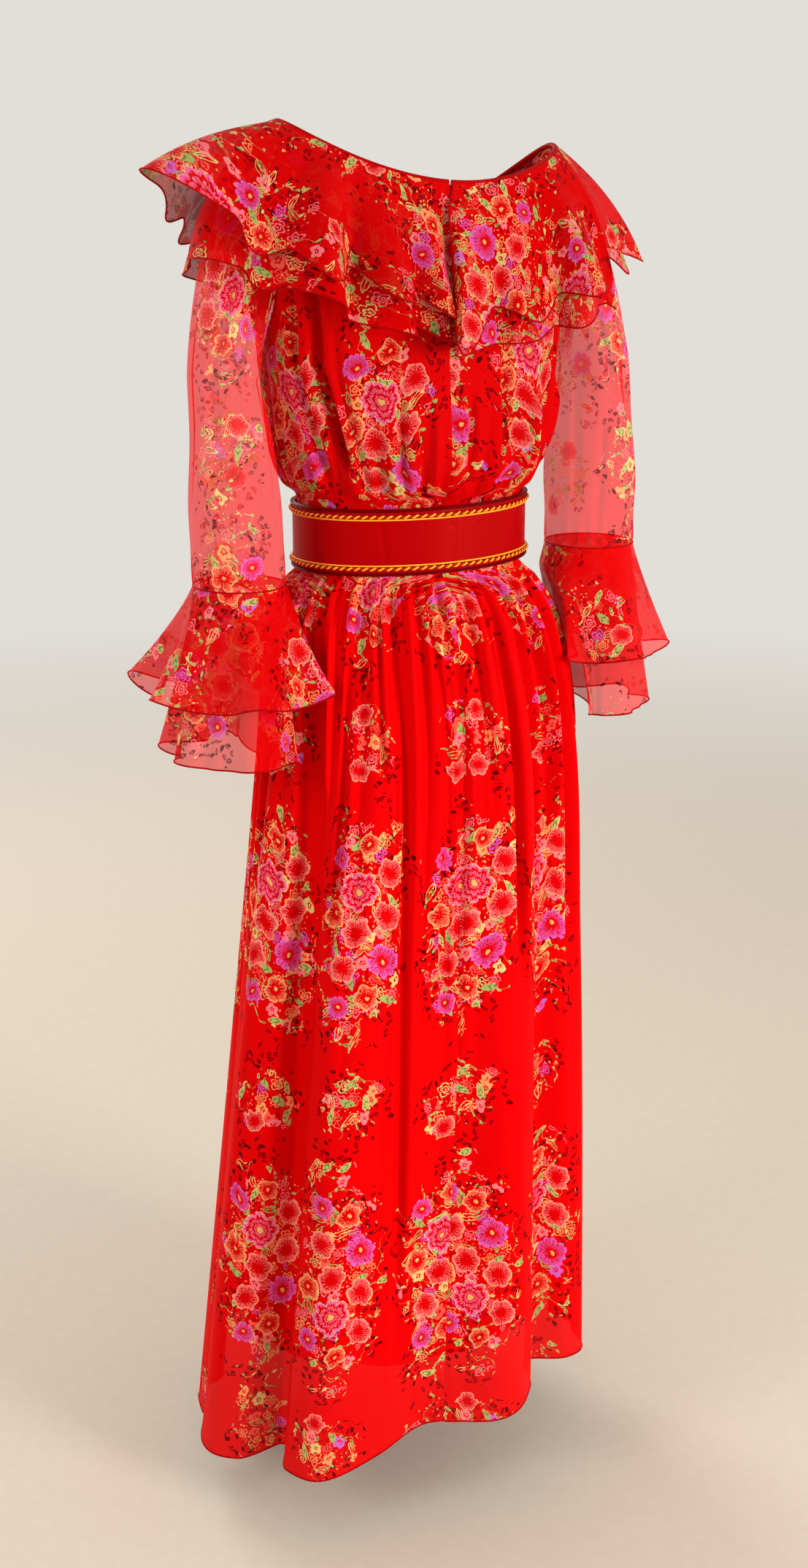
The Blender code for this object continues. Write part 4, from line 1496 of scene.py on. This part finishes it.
@dataclass
class CuffFlounces:
    """The two tiers of flounces on a sleeve."""

    sleeve: Sleeve
    skirt: Skirt
    side_name: str
    spread: float
    bolt_across: float
    seam_gap: float = 0.0003
    hem_radius: float = 0.0009
    ripple_growth: float = 1.6
    folds: Rows = (  # angle, reach of the upper tier, reach of the lower tier, half width
        (16, 0.026, 0.016, 30), (82, 0.028, 0.02, 30), (148, 0.032, 0.016, 30),
        (212, 0.008, 0.008, 30), (268, 0.026, 0.018, 26), (328, 0.04, 0.026, 30),
    )
    growth: float = 1.3
    rounding: float = 0.06
    clear_rows: float = 3.0
    columns: int = 260
    rows: int = 44
    ripples: Rows = (  # angle, height, half width
        (48, 0.004, 13), (66, -0.003, 9), (104, 0.0036, 10), (126, -0.003, 9),
        (180, 0.0046, 13), (236, 0.004, 12), (288, -0.0034, 9), (304, 0.003, 9),
        (352, -0.0032, 10),
    )

    def clear_of_skirt(self, points: Array, clearance: float, strength: Array) -> Array:
        """Points moved out smoothly where they would be too near to the skirt.

        Args:
            points: The points.
            clearance: The least distance from the skirt's furthest folds.
            strength: How much of the move each takes, from 0 at the sleeve to 1.

        Returns:
            The points.
        """
        half_width, half_depth, centre_x, centre_y, gather, share = self.skirt.sizes(points[..., 2])
        reach = gather + share * max(row[1] for row in self.skirt.folds) + clearance
        x, y = points[..., 0] - centre_x, points[..., 1] - centre_y
        ratio = np.hypot(x / (half_width + reach), y / (half_depth + reach))
        beyond = np.log1p(np.exp((ratio - 1.0) / self.rounding)) * self.rounding
        moved = 1.0 + strength * ((1.0 + beyond) / ratio - 1.0)
        return stacked(centre_x + x * moved, centre_y + y * moved, points[..., 2])

    def points(self, tier: Tier) -> Array:
        """The points of a tier.

        Args:
            tier: The tier.

        Returns:
            Rows of points, from the sleeve down.
        """
        angle = np.linspace(0.0, 360.0, self.columns + 1)[None, :]
        share = np.linspace(0.0, 1.0, self.rows)[:, None]
        z, centre_x, centre_y, half_width, half_depth = self.sleeve.rings[-1]
        folds, ripples = bumps(angle, self.folds, tier.column, 3), bumps(angle, self.ripples)
        grown = folds * share ** self.growth + ripples * share ** self.ripple_growth
        out = self.spread * (tier.flare * share + grown)
        down = np.sqrt(np.maximum((tier.length * share) ** 2 - out ** 2, 0.0))
        points = stacked(
            self.sleeve.side * (centre_x + (half_width - tier.step + out) * cosd(angle)),
            centre_y + (half_depth - tier.step + out) * sind(angle),
            z + self.sleeve.rise - self.seam_gap - down,
        )
        return self.clear_of_skirt(points, tier.clearance, np.minimum(1.0, share * self.clear_rows))

    def make(self, wardrobe: Wardrobe) -> None:
        """Makes both tiers, their hems and the seam above them.

        Args:
            wardrobe: The finishes.
        """
        for tier in CUFF_TIERS:
            node = f"cuff_{tier.word}_{self.side_name}"
            points = self.points(tier)
            place = (self.bolt_across, tier.bolt_height)
            sheet = ClothSheet(node, points, closed=True, cut=Cut.FLOUNCE, place_on_bolt=place)
            piece = sheet.make(wardrobe.cuff, Slot.SHEER)
            edges = (("hem", -1), ("seam", 0)) if tier.seam else (("hem", -1),)
            trims = tuple(
                rolled(f"{word}_{node}", points[row, :-1], self.hem_radius, wardrobe.hem, True)
                for word, row in edges
            )


@dataclass
class Collar:
    """The two tiers of flounce fanned out round the neckline, open at the centre back, and their binding."""

    neck: Neckline
    opening: float = 0.6
    lap_lift: float = 0.004
    lap_lean: float = 0.0085
    lap_width: float = 7.0
    lengths: Pair = (0.138, 0.163)
    lifts: Pair = (0.0046, 0.0022)
    trough_rise: float = 0.13
    growth: float = 1.4
    fall: Rows = (  # angle round the neck, tilt from the vertical at the neckline, tilt at the edge
        (10, 74, 32), (34, 46, 12), (60, 27, 6), (90, 16, 6), (120, 28, 5),
        (152, 44, 3), (180, 50, 2), (208, 50, 4), (240, 36, 8), (270, 30, 12),
        (300, 44, 16), (338, 57, 12),
    )
    folds: Rows = (  # angle, reach of the upper tier, reach of the lower tier, half width, lean
        (9, 0.046, 0.01, 14, 0), (28, 0.006, 0.008, 8, -0.006), (42, 0.034, 0.018, 10, 0.026),
        (61, 0.038, 0.022, 9.5, 0.032), (79, 0.024, 0.014, 7.5, 0.016), (94.5, 0.044, 0.026, 6.2, -0.03),
        (113, 0.01, 0.012, 11, 0.004), (135, 0.038, 0.022, 10, -0.024),
        (156, 0.013, 0.014, 8, -0.012), (174, 0.023, 0.012, 11, -0.008),
        (198, 0.03, 0.018, 11, 0.014), (220, 0.024, 0.014, 9, 0.01), (243, 0.034, 0.02, 12, 0.018),
        (268, 0.02, 0.014, 9, 0), (289, 0.034, 0.022, 11, -0.018),
        (313, 0.024, 0.014, 10, -0.008), (335, 0.018, 0.014, 11, -0.012),
        (353, 0.002, 0.004, 8, 0),
    )
    ripples: Rows = (  # angle, height at the edge, half width
        (20, -0.005, 6), (34, 0.004, 4), (51, -0.0054, 4.5), (70, 0.0036, 3.5), (86, -0.003, 3),
        (104, -0.0056, 4), (121, 0.005, 6), (146, -0.005, 4.5), (186, -0.005, 6),
        (209, 0.004, 4), (231, -0.0056, 5), (256, 0.004, 4), (278, -0.005, 5),
        (301, 0.0044, 5), (324, -0.0044, 4), (345, 0.0016, 4),
    )
    drops: Rows = (  # angle, longer by a share on the upper tier, on the lower tier, half width
        (95, 0.2, 0.02, 7), (42, 0.05, -0.02, 9), (52, -0.08, 0.02, 7), (72, -0.04, -0.07, 12),
        (118, 0.04, -0.04, 14), (150, -0.06, 0, 9), (214, 0.05, 0.02, 12),
        (262, -0.05, 0, 14), (292, 0.06, 0.02, 12), (328, -0.05, 0, 10),
    )
    close_in: Rows = (  # angle, how much steeper the lower tier falls in degrees, half width
        (5, 17, 34), (172, 9, 30),
    )
    tiers: tuple = (  # number, node, place on the bolt, flat cut, area
        (1, "collar_lower", (0.05, 0.19), (0.69, 0.53), 0.184),
        (0, "collar_upper", (0.14, 0.0), (0.53, 0.53), 0.167),
    )
    rise_lost: float = 0.65
    ripple_growth: float = 1.7
    lap_start: float = 0.22
    steepening: Pair = (0.6, 1.4)
    hem_radius: float = 0.0009
    binding_radius: float = 0.0025
    binding_gap: float = -0.001
    binding_columns: int = 420
    columns: int = 620
    rows: int = 48

    def ray(self, angle: Array, distance: Array, tier: int = 0) -> tuple[Array, Array]:
        """Points on the smooth fall of the collar.

        Args:
            angle: Their angles round the neck.
            distance: How far down the cloth they are.
            tier: 0 for the upper tier and 1 for the lower one.

        Returns:
            The points, and the directions out of the cloth's face there.
        """
        outward = self.neck.outward(angle)
        closer = bumps(angle, self.close_in) * tier
        start, end = (np.radians(round_table(angle, self.fall, column) - more * closer)
                      for column, more in enumerate(self.steepening, 1))
        turn = (end - start) / self.lengths[1]
        tilt = start + turn * distance
        out = (np.cos(start) - np.cos(tilt)) / turn
        down = (np.sin(tilt) - np.sin(start)) / turn
        level = outward * out[..., None]
        place = self.neck.place(angle) + level - stacked(0.0 * down, 0.0 * down, down)
        face = outward * np.cos(tilt)[..., None] + stacked(0.0 * tilt, 0.0 * tilt, np.sin(tilt))
        return place, face

    def angles(self, count: int) -> Array:
        """Angles from one side of the opening right round to the other."""
        return np.linspace(90.0 + self.opening, 450.0 - self.opening, count)

    def points(self, tier: int) -> Array:
        """The points of a tier, whose edge hangs lower at the crest of each fold than between them.

        Args:
            tier: 0 for the upper tier and 1 for the lower one.

        Returns:
            Rows of points, from the neckline out.
        """
        angle = self.angles(self.columns)[None, :]
        share = np.linspace(0.0, 1.0, self.rows)[:, None]
        crest = sum(bump(apart(angle, row[0]) / row[3]) for row in self.folds)
        reach, lean = (bumps(angle, self.folds, column, 3) for column in (1 + tier, 4))
        ripple, longer = bumps(angle, self.ripples), bumps(angle, self.drops, 1 + tier, 3)
        rise = self.trough_rise * (1.0 - self.rise_lost * tier)
        hanging = 1.0 + (longer - rise * np.maximum(0.0, 1.0 - crest)) * share
        place, face = self.ray(angle, share * self.lengths[tier] * hanging, tier)
        outward = self.neck.outward(angle)
        along = stacked(-outward[..., 1], outward[..., 0], 0.0 * outward[..., 0])
        grown = share ** self.growth
        lap = np.exp(-((angle - 90.0 - self.opening) / self.lap_width) ** 2) * (1.0 - tier)
        lap = lap * fade(share, 0.0, self.lap_start)
        height = self.lifts[tier] * (1.0 + share) + reach * grown + ripple * share ** self.ripple_growth
        height = height + self.lap_lift * lap
        return place + face * height[..., None] + along * (lean * grown - self.lap_lean * lap)[..., None]

    def make(self, wardrobe: Wardrobe) -> None:
        """Makes both tiers, their hems and the binding.

        Args:
            wardrobe: The finishes.
        """
        for tier, node, bolt, flat, area in self.tiers:
            points = self.points(tier)
            sheet = ClothSheet(node, points, cut=Cut.FLOUNCE, place_on_bolt=bolt)
            piece = sheet.make(wardrobe.collar, Slot.SHEER)
            edge = np.concatenate([points[::2, 0], points[-1, 1:-1], points[::-2, -1]])
            hem = rolled(f"hem_{node}", edge, self.hem_radius, wardrobe.hem)
        self.bind(wardrobe)

    def bind(self, wardrobe: Wardrobe) -> None:
        """Makes the rolled binding of the neckline.

        Args:
            wardrobe: The finishes.
        """
        angle = self.angles(self.binding_columns)
        start, face = self.ray(angle, 0.0 * angle)
        tilt = round_table(angle, self.fall, 1)
        falling = self.neck.outward(angle) * sind(tilt)[..., None] - stacked(0.0 * tilt, 0.0 * tilt, cosd(tilt))
        path = start + face * 0.5 * self.lifts[0] - falling * (self.binding_radius + self.binding_gap)
        piece = rolled("neck_binding_roll", path, self.binding_radius, wardrobe.hem, roundness=3)
        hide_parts("neck_binding")


@dataclass
class Belt:
    """The wide belt: a satin band lapped at the centre front, twisted cords on it and piping on its edges."""

    z: float = -0.3935
    height: float = 0.068
    half_width: float = 0.124
    half_depth: float = 0.097
    wall: float = 0.0026
    seam_gap: float = 0.0003
    tilt: float = -0.026
    lap: float = 18.0
    front: float = 270.0
    trim_gap: float = 0.0005
    trim_end: float = 1.5
    braid_inset: float = 0.0075
    edge_radius: float = 0.0014
    strand_radius: float = 0.0011
    twist_radius: float = 0.0009
    pitch: float = 0.0078
    line_radius: float = 0.0009
    line_step: float = 0.0031
    edge_roll: float = 0.001
    roll_width: float = 0.004
    flat_edge: float = 0.006
    flat: Pair = (0.75, 0.068)
    columns: int = 380
    rows: int = 29
    steps_a_twist: int = 12
    line_columns: int = 300
    creases: tuple[Crease, ...] = crease_rows(  # angle and share of the height
        (62, 0.02, 58, 0.96, -0.0011, 2, 3.4), (96, 0.05, 99, 0.9, 0.0008, 3.4, 3),
        (118, 0.05, 121, 0.98, -0.001, 2.6, 3.6), (140, 0.1, 136, 0.98, -0.0008, 3.6, 4.4),
        (178, 0.02, 181, 0.9, -0.0012, 3, 3), (212, 0.1, 209, 0.98, 0.0009, 3, 4),
        (243, 0.02, 247, 0.92, -0.001, 3, 4), (296, 0.05, 292, 0.98, -0.001, 3.4, 3),
        (327, 0.02, 331, 0.92, 0.0009, 3.4, 3.6), (358, 0.05, 0, 0.95, -0.0012, 2.6, 3),
        (28, 0.05, 26, 0.95, 0.0008, 3.4, 3.4),
    )

    def line(self, angle: Array, z: Array, out: Array) -> Array:
        """Points of the belt's face.

        Args:
            angle: Their angles.
            z: Their heights before the belt's tilt.
            out: How far they are out of its middle surface.

        Returns:
            The points.
        """
        spiral = (self.wall + self.seam_gap) * np.maximum(0.0, (angle - self.front + self.lap) / 360.0)
        x = (self.half_width + out + spiral) * cosd(angle)
        y = (self.half_depth + out + spiral) * sind(angle)
        return stacked(x, y, z + self.tilt * x)

    def make(self, wardrobe: Wardrobe) -> None:
        """Makes the band and its trims.

        Args:
            wardrobe: The finishes.
        """
        self.make_band(wardrobe)
        for word, sign in (("top", 1.0), ("bottom", -1.0)):
            self.make_trims(wardrobe, word, sign)

    def make_band(self, wardrobe: Wardrobe) -> None:
        """Makes the band, its edges turned in a little.

        Args:
            wardrobe: The finishes.
        """
        angle = np.linspace(self.front - self.lap, self.front + 360.0, self.columns)[None, :]
        share = np.linspace(0.0, 1.0, self.rows)[:, None]
        edge = np.minimum(share, 1.0 - share) * self.height
        rolled_in = -self.edge_roll * fade(edge, self.roll_width, 0.0)
        out = rolled_in + creased(self.creases, angle, share) * fade(edge, 0.0, self.flat_edge)
        points = self.line(angle, self.z + self.height * (share - 0.5), out)
        piece = ClothSheet("belt_panel", points).make(wardrobe.band, Slot.BAND)
        bpy.context.view_layer.objects.active = piece
        wall = piece.modifiers.new("wall", "SOLIDIFY")
        wall.thickness = self.wall
        wall.offset = 0.0
        bpy.ops.object.modifier_apply(modifier=wall.name)
        piece.data.shade_smooth()

    def make_trims(self, wardrobe: Wardrobe, word: str, sign: float) -> None:
        """Makes the twisted cord, the plain cord beside it and the piping of one edge.

        Args:
            wardrobe: The finishes.
            word: Which edge, top or bottom.
            sign: 1 for the top edge and -1 for the bottom one.
        """
        ends = self.front + self.trim_end, self.front + 360.0 - self.trim_end
        z = self.z + sign * (0.5 * self.height - self.braid_inset)
        out = 0.5 * self.wall + self.twist_radius + self.strand_radius
        length = 2.0 * math.pi * math.sqrt(0.5 * (self.half_width ** 2 + self.half_depth ** 2))
        turns = round(length / self.pitch)
        angle = np.linspace(*ends, turns * self.steps_a_twist + 1)
        phase = (angle - ends[0]) * turns
        for finish, name, start in ((wardrobe.gold, "gold", 0.0), (wardrobe.scarlet, "scarlet", 180.0)):
            twist = phase + start
            path = self.line(angle, z + self.twist_radius * sind(twist), out + self.twist_radius * cosd(twist))
            piece = rolled(f"belt_cord_{word}_{name}", path, self.strand_radius, finish)
            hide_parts(f"belt_braid_{word}")
        angle = np.linspace(*ends, self.line_columns)
        beside = self.line(angle, z - sign * self.line_step, 0.5 * self.wall + self.line_radius)
        rolled(f"belt_line_{word}", beside, self.line_radius, wardrobe.gold)
        edge_out = 0.5 * self.wall + self.edge_radius + self.trim_gap - self.edge_roll
        path = self.line(angle, self.z + sign * (0.5 * self.height - self.edge_radius), edge_out)
        name = f"belt_piping_{word}"
        piping = rolled(name, path, self.edge_radius, wardrobe.piping, roundness=2)
        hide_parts(f"belt_edge_{word}")


@dataclass
class Studio:
    """A plain pale floor that fades into an even backdrop, and soft studio light."""

    floor_z: float = -1.478
    floor_radius: float = 9.0
    wall_tone: Colour = (0.76, 0.735, 0.69)
    floor_tone: Colour = (0.6, 0.53, 0.44)
    world_strength: float = 1.0
    fading: Pair = (1.6, 5.0)

    def make(self) -> None:
        """Makes the floor, the world and the lamps."""
        bpy.context.scene.view_settings.view_transform = "Standard"
        self.make_floor()
        self.make_world()
        self.lamp("key", (-1.5, 2.5, -0.2), (0.0, 0.0, -0.9), 0.9, 72.0, (1.0, 0.97, 0.93))
        self.lamp("side", (2.7, 0.9, 0.4), (0.0, 0.0, -0.7), 0.9, 24.0, (1.0, 0.98, 0.95))
        self.lamp("front", (0.8, -3.0, 1.2), (0.0, 0.0, -0.7), 1.6, 60.0, (1.0, 0.98, 0.96))

    def make_floor(self) -> None:
        """Makes the floor, whose far parts take the backdrop's tone."""
        bpy.ops.object.select_all(action="DESELECT")
        bpy.ops.mesh.primitive_circle_add(vertices=96, radius=self.floor_radius, fill_type="NGON",
                                          location=(0.0, 0.0, self.floor_z))
        floor = bpy.context.view_layer.objects.active
        floor.name = "studio_floor"
        bpy.ops.object.transform_apply(location=True)
        material, painter, shader = new_material("studio_floor")
        place = painter.on_object()
        away = painter.length(painter.vector("MULTIPLY", place, (1.0, 1.0, 0.0)))
        near, gone = self.fading
        soft = {"interpolation_type": "SMOOTHSTEP"}
        far = painter.node("ShaderNodeMapRange", soft, {0: away, 1: near, 2: gone})
        grain = painter.noise(place, 60.0, 3.0)
        tone = painter.mixed(grain, self.floor_tone, tuple(0.93 * c for c in self.floor_tone))
        painter.feed(shader, {"Base Color": tone, "Roughness": 0.85})
        backdrop = {"Color": (*self.wall_tone, 1.0), "Strength": self.world_strength}
        glow = painter.node("ShaderNodeEmission", {}, backdrop)
        blend = painter.node("ShaderNodeMixShader", {}, {0: far, 1: Wire(painter, shader.outputs[0]), 2: glow})
        painter.feed(painter.tree.nodes["Material Output"], {"Surface": blend})
        floor.data.materials.append(material)

    def make_world(self) -> None:
        """Makes the even backdrop."""
        world = bpy.data.worlds.new("studio")
        bpy.context.scene.world = world
        world.use_nodes = True
        backdrop = world.node_tree.nodes["Background"]
        backdrop.inputs["Color"].default_value = (*self.wall_tone, 1.0)
        backdrop.inputs["Strength"].default_value = self.world_strength

    def lamp(self, name: str, place: tuple, target: tuple, size: float, power: float, colour: Colour) -> None:
        """Makes a soft lamp.

        Args:
            name: Its name.
            place: Where it stands.
            target: The point that it looks at.
            size: Its width.
            power: Its power in watts.
            colour: Its colour.
        """
        light = bpy.data.lights.new(name, "AREA")
        light.energy = power
        light.size = size
        light.color = colour
        lamp = bpy.data.objects.new(name, light)
        lamp.location = place
        lamp.visible_camera = False
        lamp.rotation_euler = (Vector(target) - Vector(place)).to_track_quat("-Z", "Y").to_euler()
        bpy.context.scene.collection.objects.link(lamp)


@dataclass(frozen=True)
class DressCamera:
    """The camera, fitted to the photograph."""

    lens: float = 45.1
    sensor: float = 36.0
    distance: float = 2.0804
    height: float = -0.0593
    pitch: float = 16.625
    yaw: float = 21.66
    across: float = -0.0053

    def make(self) -> None:
        """Makes the camera behind the dress, a little to the wearer's left, looking down."""
        turn, pitch = math.radians(180.0 - self.yaw), math.radians(self.pitch)
        forward = Vector((-math.sin(turn), math.cos(turn), 0.0))
        right = forward.cross(Vector((0.0, 0.0, 1.0)))
        place = Vector((math.sin(turn), -math.cos(turn), 0.0)) * self.distance + right * self.across
        place.z = self.height
        look = forward * math.cos(pitch) - Vector((0.0, 0.0, math.sin(pitch)))
        up = right.cross(look)
        lens = bpy.data.cameras.new("photo_camera")
        lens.lens = self.lens
        lens.sensor_width = self.sensor
        lens.clip_start = 0.05
        camera = bpy.data.objects.new("photo_camera", lens)
        camera.matrix_world = Matrix((
            (right.x, up.x, -look.x, place.x),
            (right.y, up.y, -look.y, place.y),
            (right.z, up.z, -look.z, place.z),
            (0, 0, 0, 1),
        ))
        bpy.context.scene.collection.objects.link(camera)
        bpy.context.scene.camera = camera


def main() -> None:
    """Builds the dress, the studio and the camera."""
    logging.basicConfig(level=logging.INFO, format="%(name)s: %(message)s", stream=sys.stdout)
    bpy.ops.object.select_all(action="DESELECT")
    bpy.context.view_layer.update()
    wardrobe = Wardrobe.dyed_and_shaded()
    neck, arm, skirt = Neckline(), Armhole(), Skirt()
    DressCamera().make()
    Bodice(neck, arm).make(wardrobe)
    skirt.make(wardrobe)
    SkirtLining().make(wardrobe)
    for name, side, rise, sleeve_bolt, spread, cuff_bolt in (
        ("left", 1.0, 0.0, (0.125, -0.148), 1.0, 0.03),
        ("right", -1.0, 0.02, (0.257, -0.11), 0.76, 0.21),
    ):
        sleeve = Sleeve(arm, f"sleeve_{name}", side, rise, sleeve_bolt)
        sleeve.make(wardrobe)
        CuffFlounces(sleeve, skirt, name, spread, cuff_bolt).make(wardrobe)
    Collar(neck).make(wardrobe)
    Belt().make(wardrobe)
    Studio().make()


if __name__ == "__main__":
    main()
